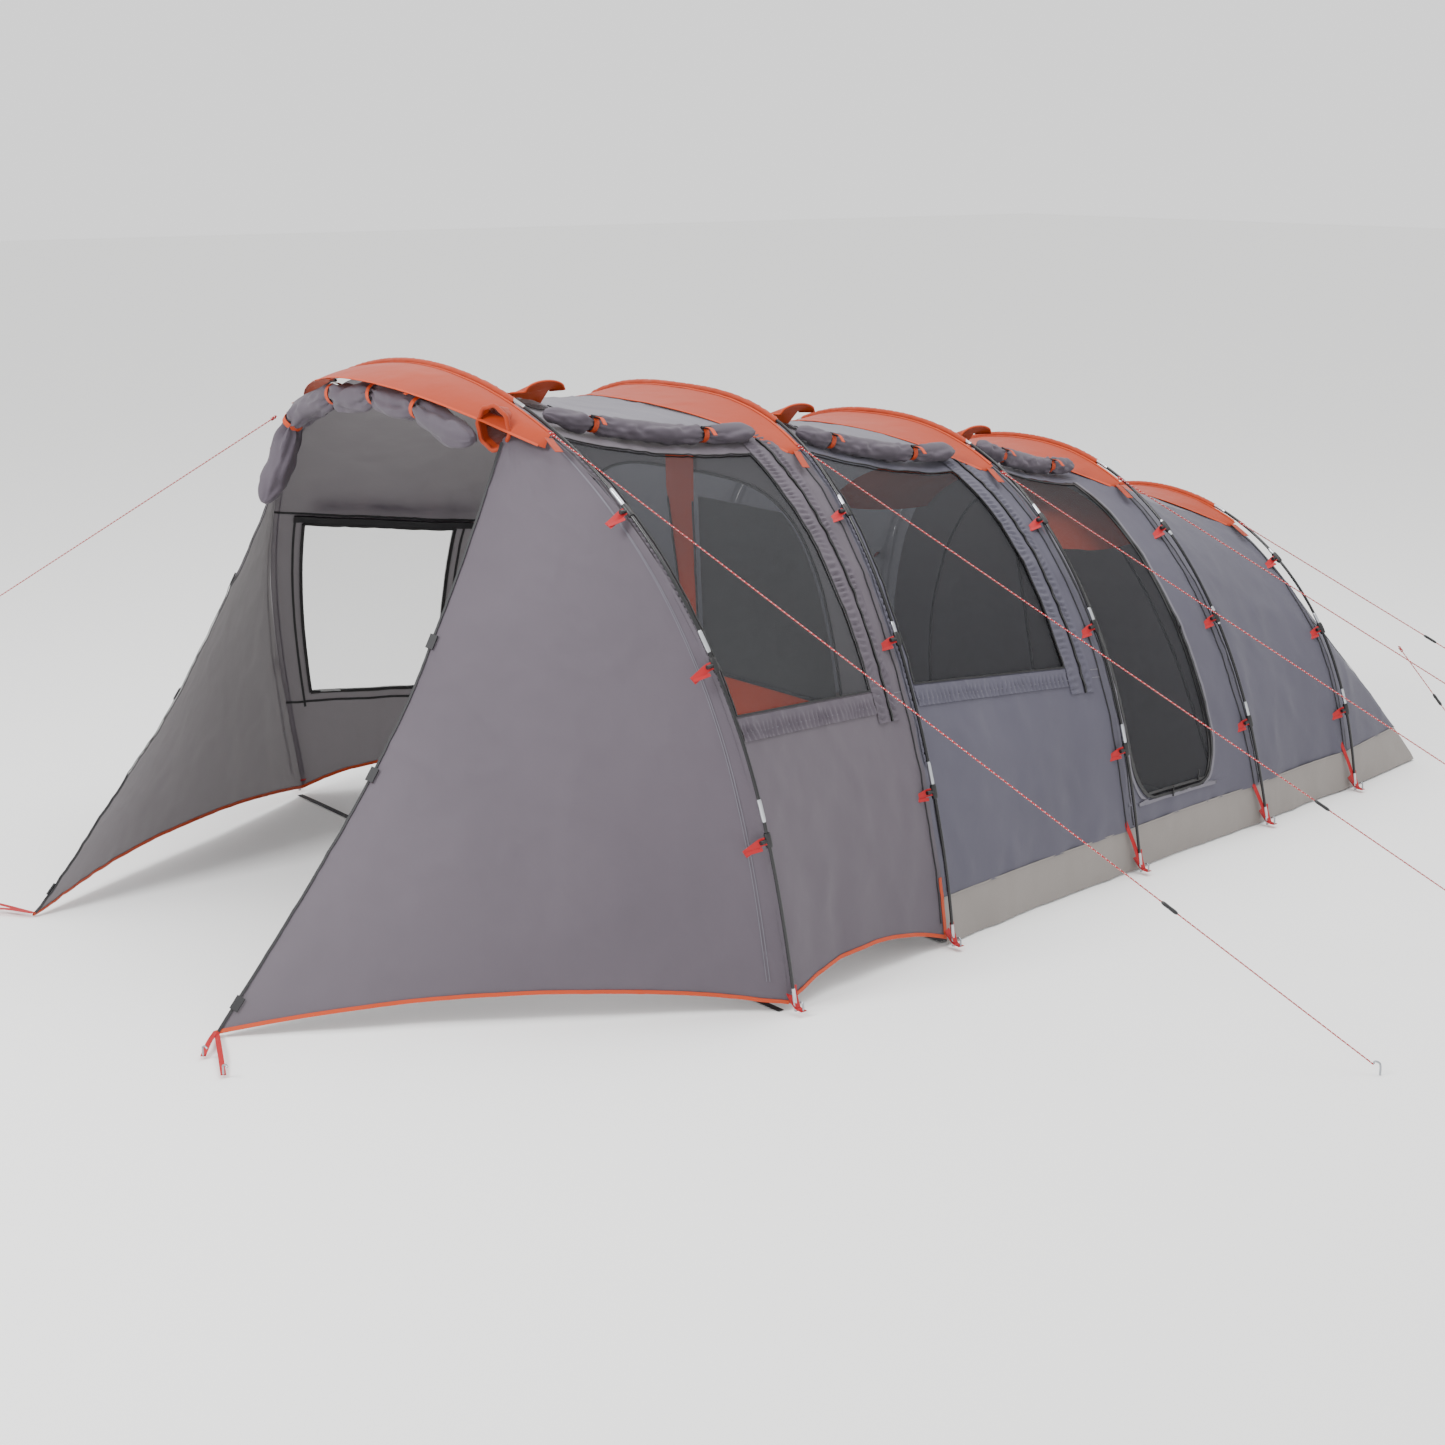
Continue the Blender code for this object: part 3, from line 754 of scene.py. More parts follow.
@dataclass(frozen=True)
class BraidedCord(Finish):
    """Polyester cord braided from red yarn with a pale tracer that shows as flecks."""

    colour: str = "#98000E"
    tracer: str = "#E6C4C0"
    pitch: float = 0.017

    def nodes(self, tree: NodeTree) -> NodeSocket:
        """Adds the cord's nodes."""
        place = add_node(tree, "TexCoord")
        turned = add_node(tree, "Mapping", {
            "Vector": place.outputs["UV"], "Rotation": (0.0, 0.0, 0.5),
        })
        flecks = waves(tree, turned.outputs[0], "X", self.pitch)
        crossing = waves(tree, place.outputs["UV"], "X", self.pitch * 0.37)
        lit = add_node(tree, "Math", {0: flecks, 1: flecks}, {"operation": "MULTIPLY"})
        share = add_node(tree, "MapRange", {
            "Value": lit.outputs[0], "From Min": 0.78, "From Max": 0.9,
        })
        tone = add_node(tree, "Mix", {
            0: share.outputs[0], 6: linear(self.colour), 7: linear(self.tracer),
        }, {"data_type": "RGBA"})
        raised = add_node(tree, "Bump", {"Strength": 0.6, "Distance": 0.0006, "Height": crossing})
        return add_node(tree, "BsdfPrincipled", {
            "Base Color": tone.outputs[2], "Roughness": 0.7, "Normal": raised.outputs["Normal"],
        }).outputs[0]


# ---- making meshes


CLOTH = CoatedPolyester("coated_polyester_warm_grey", Slot.CLOTH)
COOL_CLOTH = CoatedPolyester(
    "coated_polyester_cool_grey", Slot.CLOTH, colour="#5B5967", faded="#4E4C59", glow="#84858C"
)
# A lighter copy of the wall cloth. On the roof panels the lighter grey is painted top light; the seams
# and the door's bound edge that share it are lighter grey tape.
LIGHTER_TRIM_AND_TOP_LIT_ROOF_CLOTH = CoatedPolyester(
    "coated_polyester_roof_grey", Slot.CLOTH, colour="#7C7983", faded="#6B6872", through=0.25
)
ORANGE = CoatedPolyester(
    "dyed_polyester_orange", Slot.ORANGE,
    colour="#AC3600",
    faded="#962D00",
    glow="#B04000",
    through=0.12,
    roughness=0.6,
)
BINDING = WovenWebbing("woven_binding_orange", Slot.ORANGE, colour="#A83602")
RED_WEBBING = WovenWebbing("woven_polypropylene_red", Slot.WEBBING, colour="#9C000C")
BLACK_WEBBING = WovenWebbing("woven_polypropylene_black", Slot.WEBBING)
MESH = KnittedMesh("knitted_insect_mesh_black", Slot.MESH)
# The inner door's screen is knitted so close that it reads as dark cloth.
SCREEN_CLOTH = CoatedPolyester(
    "close_knit_screen_black", Slot.MESH, colour="#2E3132", faded="#262829", through=0.1
)
FILM = VinylFilm("cast_vinyl_film_clear", Slot.FILM)
ZIP = CoilZip("nylon_coil_zip_black", Slot.WEBBING)
SKIRT_CLOTH = CoatedPolyester(
    "coated_polyester_pale_grey", Slot.CLOTH, colour="#8F8984", faded="#7F7975", through=0.12
)
SHEETING = CoatedPolyester(
    "woven_polyethylene_floor_grey", Slot.FLOOR, colour="#5E5F63", faded="#535458", through=0.0
)
INNER_CLOTH = CoatedPolyester(
    "breathable_polyester_pale_grey", Slot.CLOTH, colour="#6E6C73", faded="#636168", through=0.35
)
FIBREGLASS = HardSurface("pultruded_fibreglass_black", Slot.POLE, colour="#0E0F11", roughness=0.28)
ALUMINIUM = HardSurface(
    "drawn_aluminium_ferrule", Slot.STEEL, colour="#B9BCC0", roughness=0.3, metallic=1.0, grain=900
)
ZINC_STEEL = HardSurface(
    "zinc_plated_steel", Slot.STEEL, colour="#9DA1A6", roughness=0.35, metallic=1.0, grain=260
)
NYLON = HardSurface("moulded_nylon_black", Slot.PLASTIC, colour="#121214", roughness=0.45, grain=700)
GUY_CORD = BraidedCord("braided_polyester_cord_red", Slot.CORD)


class Draft:
    """Shapes that are collected and then become one piece."""

    def __init__(self) -> None:
        """Starts with no shapes."""
        self.points: list[Vector] = []
        self.faces: list[tuple[int, ...]] = []
        self.places: list[list[tuple[float, float]]] = []

    def grid(self, rows: Rows, skip: Callable[[int, int], bool] | None = None) -> "Draft":
        """Adds a sheet of quads.

        Args:
            rows: Rows of points, all of one length.
            skip: Tells for a row and a column whether its quad is left out.

        Returns:
            The draft.
        """
        start = len(self.points)
        width = len(rows[0])
        down = [[0.0] * width]
        for above, row in zip(rows, rows[1:]):
            down.append([d + (b - a).length for d, a, b in zip(down[-1], above, row)])
        across = []
        for row in rows:
            line = [0.0]
            for left, right in zip(row, row[1:]):
                line.append(line[-1] + (right - left).length)
            across.append(line)
            self.points += row
        for r in range(len(rows) - 1):
            for c in range(width - 1):
                if skip and skip(r, c):
                    continue
                corners = ((r, c), (r, c + 1), (r + 1, c + 1), (r + 1, c))
                self.faces.append(tuple(start + i * width + j for i, j in corners))
                self.places.append([(across[i][j], down[i][j]) for i, j in corners])
        return self

    def loft(self, rings: Rows, distances: Sequence[float]) -> "Draft":
        """Adds a closed skin over rings of points, capped at both ends.

        Args:
            rings: Rings, all of one length.
            distances: How far along each ring lies.

        Returns:
            The draft.
        """
        start = len(self.points)
        sides = len(rings[0])
        girth = [0.0]
        ring = rings[len(rings) // 2]
        for j in range(sides):
            girth.append(girth[-1] + (ring[(j + 1) % sides] - ring[j]).length)
        for ring in rings:
            self.points += ring
        for i in range(len(rings) - 1):
            for j in range(sides):
                after = (j + 1) % sides
                low, high = start + i * sides, start + (i + 1) * sides
                self.faces.append((low + j, low + after, high + after, high + j))
                near, far = distances[i], distances[i + 1]
                self.places.append(
                    [(near, girth[j]), (near, girth[j + 1]), (far, girth[j + 1]), (far, girth[j])]
                )
        last = start + (len(rings) - 1) * sides
        for cap in (range(start + sides - 1, start - 1, -1), range(last, last + sides)):
            self.faces.append(tuple(cap))
            self.places.append([(0.0, 0.0)] * sides)
        return self

    def tube(
        self,
        path: Sequence[Vector],
        radius: float | Callable[[float, float], float],
        sides: int = 10,
    ) -> "Draft":
        """Adds a round bar or a roll along a path.

        Args:
            path: The points of its middle line.
            radius: The radius, or a function of the share of the length and the angle.
            sides: The number of sides.

        Returns:
            The draft.
        """
        tangents = [
            (path[min(i + 1, len(path) - 1)] - path[max(i - 1, 0)]).normalized()
            for i in range(len(path))
        ]
        first = tangents[0]
        across = first.cross(Vector((0, 0, 1)) if abs(first.z) < 0.9 else Vector((0, 1, 0)))
        rings, distances = [], []
        travelled = 0.0
        for i, (point, tangent) in enumerate(zip(path, tangents)):
            across = (across - tangent * across.dot(tangent)).normalized()
            up = tangent.cross(across)
            travelled += (point - path[i - 1]).length if i else 0.0
            ring = []
            for j in range(sides):
                angle = 2 * math.pi * j / sides
                share = i / (len(path) - 1)
                size = radius(share, angle) if callable(radius) else radius
                ring.append(point + (across * math.cos(angle) + up * math.sin(angle)) * size)
            rings.append(ring)
            distances.append(travelled)
        return self.loft(rings, distances)

    def ribbon(self, frames: Sequence[Frame], width: float, thickness: float = 0.0012) -> "Draft":
        """Adds a tape that lies on a surface.

        Args:
            frames: Points of its middle line, each with the surface's normal.
            width: The tape's width.
            thickness: The tape's thickness.

        Returns:
            The draft.
        """
        rings, distances = [], []
        travelled = 0.0
        for i, (point, normal) in enumerate(frames):
            ahead = frames[min(i + 1, len(frames) - 1)][0]
            behind = frames[max(i - 1, 0)][0]
            across = (ahead - behind).cross(normal).normalized() * (width / 2)
            travelled += (point - frames[i - 1][0]).length if i else 0.0
            rise = normal * thickness
            rings.append([point - across, point + across, point + across + rise, point - across + rise])
            distances.append(travelled)
        return self.loft(rings, distances)

    def build(
        self, name: str, finish: Finish, body: str = TENT, replaces: Sequence[str] = ()
    ) -> Object:
        """Makes the piece and puts it on a body.

        Args:
            name: The piece's name.
            finish: Its finish.
            body: The body that it rides on.
            replaces: The frame's nodes that it stands for.

        Returns:
            The piece.
        """
        made = bpy.data.meshes.new(name)
        made.from_pydata([tuple(point) for point in self.points], [], self.faces)
        layer = made.uv_layers.new(name="metres")
        flat = [value for face in self.places for place in face for value in place]
        layer.data.foreach_set("uv", flat)
        made.shade_smooth()
        made.set_sharp_from_angle(angle=math.radians(48))
        made.materials.append(finish.material())
        piece = bpy.data.objects.new(name, made)
        bpy.context.scene.collection.objects.link(piece)
        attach(piece, body)
        if replaces:
            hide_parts(*replaces)
        LOG.info("%s: %d faces", name, len(self.faces))
        return piece


@dataclass
class Cloth:
    """A panel of cloth: a surface, the two runs of values it is sampled at, and a hole."""

    surface: Surface
    rows: Sequence[float]
    columns: Sequence[float]
    hole: tuple[float, float, float, float] | None = None
    lift: float = 0.0

    def points(self) -> list[list[Vector]]:
        """The panel's rows of points."""
        return [[self.surface.cloth(u, v, self.lift) for v in self.columns] for u in self.rows]

    def skipped(self, row: int, column: int) -> bool:
        """Whether a quad lies in the hole."""
        if self.hole is None:
            return False
        low, high, front, back = self.hole
        u = (self.rows[row] + self.rows[row + 1]) / 2
        v = (self.columns[column] + self.columns[column + 1]) / 2
        return low < u < high and front < v < back

    def build(
        self,
        name: str,
        finish: Finish,
        held: Held = Held.STRETCHED,
        body: str = TENT,
        replaces: Sequence[str] = (),
    ) -> Object:
        points = self.points()
        piece = Draft().grid(points, self.skipped).build(name, finish, body, replaces)
        declare_sheet(piece, points)
        return piece


def declare_sheet(piece: Object, rows: Rows) -> None:
    """Logs a panel with the size that it was cut to and its area.

    Args:
        piece: The panel.
        rows: Its rows of points.
    """
    width = max(sum((b - a).length for a, b in zip(row, row[1:])) for row in rows)
    columns = list(zip(*rows))
    length = max(sum((b - a).length for a, b in zip(row, row[1:])) for row in columns)
    area = sum(face.area for face in piece.data.polygons)
    area = min(area, width * length)
    LOG.info("%s: cut %.2f x %.2f m, %.2f square metres", piece.name, width, length, area)


CELL = 0.026


def cells(
    surface: Surface, first: float, last: float, fixed: float, rising: bool = True
) -> list[float]:
    """Even values whose steps on the surface are about one cell long.

    Args:
        surface: The surface.
        first: The first value.
        last: The last value.
        fixed: The other value, which stays.
        rising: True to step through the first of the surface's two values.

    Returns:
        The values, both ends included.
    """
    probe = spread(first, last, 12)
    path = [surface.at(p, fixed) if rising else surface.at(fixed, p) for p in probe]
    length = sum((b - a).length for a, b in zip(path, path[1:]))
    return spread(first, last, max(2, round(length / CELL)))


def trace(
    surface: Surface, ends: Sequence[tuple[float, float]], lift: float = 0.002, cell: float = CELL
) -> list[Frame]:
    """Frames along a line drawn on a surface.

    Args:
        surface: The surface.
        ends: The line's corners, as pairs of values.
        lift: How far over the cloth the line runs.
        cell: The distance between two frames.

    Returns:
        Points with their normals.
    """
    frames = []
    for (u0, v0), (u1, v1) in zip(ends, ends[1:]):
        length = (surface.at(u1, v1) - surface.at(u0, v0)).length
        steps = max(2, round(length / cell))
        for share in spread(0, 1, steps)[: None if (u1, v1) == ends[-1] else -1]:
            frames.append(surface.frame_at(u0 + (u1 - u0) * share, v0 + (v1 - v0) * share, lift))
    return frames


# ---- studio


@dataclass
class Studio:
    """The pale floor, the soft light and the camera."""

    lens: float = 60.24
    place: tuple[float, float, float] = (7.936, -6.450, 2.958)
    tilt: float = -0.2389
    heading: float = 0.9192

    def build(self) -> None:
        """Makes all three."""
        self.add_floor()
        self.add_lights()
        self.add_camera()

    def add_floor(self) -> None:
        """A wide matt floor."""
        half = 60.0
        made = bpy.data.meshes.new("studio_floor")
        corners = [(-half, -half, 0), (half, -half, 0), (half, half, 0), (-half, half, 0)]
        made.from_pydata(corners, [], [(0, 1, 2, 3)])
        material, tree = start_material("matt_white_floor")
        shader = add_node(tree, "BsdfPrincipled", {
            "Base Color": linear("#F6F6F5"), "Roughness": 0.9,
        })
        add_node(tree, "OutputMaterial", {"Surface": shader.outputs[0]})
        made.materials.append(material)
        floor = bpy.data.objects.new("studio_floor", made)
        bpy.context.scene.collection.objects.link(floor)

    def add_lights(self) -> None:
        """A white surround, a broad key from the front left and a fill from above."""
        world = bpy.data.worlds.new("studio")
        world.use_nodes = True
        background = world.node_tree.nodes["Background"]
        background.inputs["Color"].default_value = linear("#FFFFFF")
        background.inputs["Strength"].default_value = 1.35
        bpy.context.scene.world = world
        self.add_area("key", (1.0, -9.5, 7.0), (0.0, 0.0, 0.8), 3.0, 900.0)
        self.add_area("overhead", (1.5, 1.0, 8.5), (0.0, 0.5, 0.0), 6.0, 550.0)

    def add_area(
        self,
        name: str,
        place: tuple[float, float, float],
        target: tuple[float, float, float],
        size: float,
        power: float,
    ) -> None:
        """A square soft light.

        Args:
            name: Its name.
            place: Where it stands.
            target: The point that it faces.
            size: Its side.
            power: Its power in watts.
        """
        lamp = bpy.data.lights.new(name, "AREA")
        lamp.size = size
        lamp.energy = power
        holder = bpy.data.objects.new(name, lamp)
        holder.location = place
        holder.rotation_euler = (Vector(target) - Vector(place)).to_track_quat("-Z", "Y").to_euler()
        bpy.context.scene.collection.objects.link(holder)

    def add_camera(self) -> None:
        """The camera, looking at the tent from its front near corner."""
        optics = bpy.data.cameras.new("camera")
        optics.lens = self.lens
        optics.sensor_width = 36.0
        optics.clip_end = 200.0
        camera = bpy.data.objects.new("camera", optics)
        camera.location = self.place
        camera.rotation_euler = (math.pi / 2 + self.tilt, 0.0, self.heading)
        bpy.context.scene.collection.objects.link(camera)
        bpy.context.scene.camera = camera


# ---- guy lines


@dataclass
class GuyLines:
    """Seven taut cords, each with its knot and its peg, four of them with a runner."""

    radius: float = 0.0025
    points: int = 24
    runners: dict[int, float] = field(default_factory=lambda: {1: 0.765, 2: 0.71, 5: 0.42, 6: 0.40})

    def build(self) -> None:
        """Makes all seven."""
        for number in FORM.guys:
            self.add_line(number)

    def add_line(self, number: int) -> None:
        """A cord with what is on it."""
        start, end = FORM.guy_ends(number)
        path = [start.lerp(end, share) for share in spread(0, 1, self.points)]
        cord = Draft().tube(path, self.radius, 8).build(
            f"guy_cord_{number}", GUY_CORD, replaces=[f"guy_line_{number}"]
        )
        pieces = [self.add_peg(number), self.add_knot(number, start, end)]
        if number in self.runners:
            pieces.append(self.add_runner(number, start, end))

    def add_peg(self, number: int) -> Object:
        """A bent steel wire peg, hooked over the cord's end loop."""
        start, _ = FORM.guy_ends(number)
        ground = FORM.guys[number][2]
        foot = Vector((ground[0], ground[1] - FORM.middle_y, 0.0))
        away = Vector((foot.x - start.x, foot.y - start.y, 0)).normalized()
        up = Vector((0, 0, FORM.peg_height))
        first = foot + away * 0.012 + Vector((0, 0, 0.0005))
        second = first + up * 0.6
        third = second + up * 0.3 - away * 0.004
        last = third + up * 0.1 - away * 0.014
        path = smooth_path([first, second, third, last, last - up * 0.18 - away * 0.004], 20)
        return Draft().tube(path, 0.0036, 10).build(
            f"guy_peg_{number}", ZINC_STEEL, replaces=[f"peg_{number}"]
        )

    def add_knot(self, number: int, start: Vector, end: Vector) -> Object:
        """The knot at the cord's tied-on end, as a coil of cord."""
        way = (end - start).normalized()
        knot = Draft()
        turns = 5
        coil = []
        side = way.cross(Vector((0, 0, 1))).normalized()
        up = side.cross(way)
        for share in spread(0, 1, 40):
            angle = 2 * math.pi * turns * share
            lie = way * (0.006 + 0.026 * share)
            coil.append(start + lie + (side * math.cos(angle) + up * math.sin(angle)) * 0.0052)
        knot.tube(coil, 0.0021, 6)
        return knot.build(f"guy_knot_{number}", GUY_CORD)

    def add_runner(self, number: int, start: Vector, end: Vector) -> Object:
        """A moulded bar with rounded ends that the cord threads through twice."""
        way = (end - start).normalized()
        middle = start.lerp(end, self.runners[number])
        side = way.cross(Vector((0, 0, 1))).normalized()
        up = side.cross(way)
        length, width, depth = 0.034, 0.011, 0.0055
        rings, distances = [], []
        for share in spread(-1, 1, 24):
            taper = max(1 - abs(share) ** 6, 0.05) ** 0.5
            ring = []
            for step in range(16):
                angle = 2 * math.pi * step / 16
                across = signed_power(math.cos(angle), 0.7) * width * taper
                rise = signed_power(math.sin(angle), 0.7) * depth * taper
                waist = 1 - 0.25 * bell(share, 0.3)
                ring.append(middle + way * (length * share) + side * (across * waist) + up * rise)
            rings.append(ring)
            distances.append(length * share)
        body = f"runner_on_line_{number}"
        return Draft().loft(rings, distances).build(
            f"line_runner_{number}", NYLON, body, [f"runner_{number}"]
        )


# ---- poles


@dataclass
class Poles:
    """Five jointed poles with ferrules, foot pins, sleeves and the clips on the cloth."""

    radius: float = 0.00625
    ferrule_radius: float = 0.0078
    ferrule_half_arcs: tuple[float, ...] = (0.23, 0.418, 0.606, 0.794)
    ferrule_length: float = 0.08
    clip_turns: tuple[float, ...] = (0.89, 0.56, 0.253)
    sleeve_turn: float = 1.25
    sleeve_radius: float = 0.013

    def build(self) -> None:
        """Makes the five poles with what is on each."""
        for number, arch in enumerate(FORM.arches, 1):
            self.add_pole(number, arch)
            self.add_metal(number, arch)
            self.add_sleeve(number, arch)
            self.add_clips(number, arch)

    def add_pole(self, number: int, arch: Arch) -> None:
        """The fibreglass sections, from foot to foot."""
        path = arch.run(0.0025, math.pi - 0.0025, 220)
        Draft().tube(path, self.radius, 12).build(
            f"pole_{number}", FIBREGLASS, replaces=[f"pole_arch_{number}"]
        )

    def add_metal(self, number: int, arch: Arch) -> None:
        """The ferrules at the section ends and the pins in both feet."""
        count = 800
        path = arch.run(0.0025, math.pi - 0.0025, count)
        step = sum((b - a).length for a, b in zip(path, path[1:])) / count
        reach = round(self.ferrule_length / step / 2)
        metal = Draft()
        for share in self.ferrule_half_arcs:
            for middle in (round(share * count / 2), round(count - share * count / 2)):
                piece = path[middle - reach : middle + reach + 1]
                metal.tube(piece, self.rounded_end(self.ferrule_radius), 14)
        pin = round(0.085 / step)
        for piece in (path[: pin + 1], path[-pin - 1 :]):
            metal.tube(piece, self.rounded_end(self.ferrule_radius - 0.0006), 14)
        metal.build(f"ferrules_{number}", ALUMINIUM)

    def rounded_end(self, radius: float) -> Callable[[float, float], float]:
        """A radius that draws in over the last tenth at each end."""
        return lambda share, _: radius * (0.82 + 0.18 * min(min(share, 1 - share) * 10, 1.0))

    def add_sleeve(self, number: int, arch: Arch) -> None:
        """The sewn sleeve over the crown, puckered along its length."""
        path = arch.run(self.sleeve_turn, math.pi - self.sleeve_turn, 90)

        def radius(share: float, angle: float) -> float:
            """The sleeve's radius with its puckers."""
            pucker = noise.noise(Vector((share * 70, math.cos(angle), math.sin(angle))))
            return self.sleeve_radius + 0.0025 * pucker - 0.003 * (min(share, 1 - share) < 0.005)

        sleeve = Draft().tube([p - Vector((0, 0, 0.004)) for p in path], radius, 12)
        piece = sleeve.build(f"pole_sleeve_{number}", ORANGE)

    def add_clips(self, number: int, arch: Arch) -> None:
        """Red webbing tabs sewn to the seam, each with a moulded hook on the pole."""
        tabs, hooks = Draft(), Draft()
        for turn in self.clip_turns:
            for place in (turn, math.pi - turn):
                pole = arch.point(place)
                cloth = arch.point(place, FORM.inset - 0.003)
                along = (arch.point(place + 0.01) - arch.point(place - 0.01)).normalized()
                out = (pole - cloth).normalized()
                sideways = along.cross(out).normalized()
                sideways = sideways if sideways.y < 0 else -sideways
                path = [
                    cloth + sideways * 0.085 - along * 0.02 - out * 0.002,
                    cloth + sideways * 0.055 - along * 0.01 + out * 0.008,
                    cloth + sideways * 0.026 + out * 0.022,
                    pole + sideways * 0.009 + out * 0.002,
                ]
                frames = [(p, out) for p in smooth_path(path, 10)]
                tabs.ribbon(frames, 0.028, 0.002)
                tail = [(p + out * 0.003 - along * 0.012 * i, out) for i, p in enumerate(path[:3])]
                tabs.ribbon(tail, 0.012, 0.0014)
                ring = [pole + along * reach for reach in spread(-0.026, 0.026, 8)]
                hooks.tube(ring, lambda share, _: 0.0125 - 0.002 * (2 * share - 1) ** 4, 12)
                hooks.tube([pole + sideways * r for r in spread(0.006, 0.034, 4)], 0.008, 8)
        tabs.build(f"clip_tabs_{number}", RED_WEBBING)
        hooks.build(f"pole_hooks_{number}", NYLON)


# ---- tunnel walls


@dataclass(frozen=True)
class Opening:
    """A hole in a wall: its turns on the arches and its shares of the bay."""

    low: float
    high: float
    front: float
    back: float

    @property
    def hole(self) -> tuple[float, float, float, float]:
        """The four values as the cloth panel reads them."""
        return (self.low, self.high, self.front, self.back)

    def edge(self) -> list[tuple[float, float]]:
        """The opening's outline, closed."""
        corners = [(self.low, self.front), (self.high, self.front)]
        corners += [(self.high, self.back), (self.low, self.back)]
        return [*corners, corners[0]]


NEAR_WINDOW = Opening(0.468, 1.14, 0.05, 0.80)
FAR_WINDOW = Opening(0.19, 0.63, 0.12, 0.73)
SIDE_DOOR = Opening(0.125, 1.18, 0.06, 0.72)
WALL_TOP = 1.254
WALL_MIDDLE = 0.12
SKIRT_TOP = 0.18


def wall_surface(bay: int, side: Side, drape: Drape = Drape()) -> Surface:
    """The wall of one bay, whose lowest row follows the hem or the skirt.

    Args:
        bay: 0 for the bay behind the first arch.
        side: The side of the tent.
        drape: The cloth's undulation.

    Returns:
        The surface, read at a turn and a share of the bay.
    """

    def at(turn: float, share: float) -> Vector:
        """The wall's smooth point."""
        if turn < WALL_MIDDLE:
            arch = 4 * FORM.hem_rise * share * (1 - share)
            height = FORM.hem_low + arch if bay == 0 else SKIRT_TOP + 0.004
            foot = FORM.turn_at(bay, share, height)
            turn = foot + (WALL_MIDDLE - foot) * turn / WALL_MIDDLE
        return FORM.bay(bay, turn if side is Side.NEAR else math.pi - turn, share)

    return Surface(at, drape=drape)


def door_warp(share: float, turn: float) -> float:
    """Moves the shares near the side door's lower corners, which rounds them.

    Args:
        share: The share of the bay on a plain grid.
        turn: The turn of the row.

    Returns:
        The share to read the surface at.
    """
    reach = 0.13
    above = (turn - SIDE_DOOR.low) / reach
    if not 0 <= above < 1:
        return share
    pull = 0.15 * (1 - math.sqrt(1 - (1 - above) ** 2))
    front, back = SIDE_DOOR.front + pull, SIDE_DOOR.back - pull
    if share < SIDE_DOOR.front:
        return share * front / SIDE_DOOR.front
    if share < SIDE_DOOR.back:
        reached = (share - SIDE_DOOR.front) / (SIDE_DOOR.back - SIDE_DOOR.front)
        return front + (back - front) * reached
    return 1 - (1 - share) * (1 - back) / (1 - SIDE_DOOR.back)


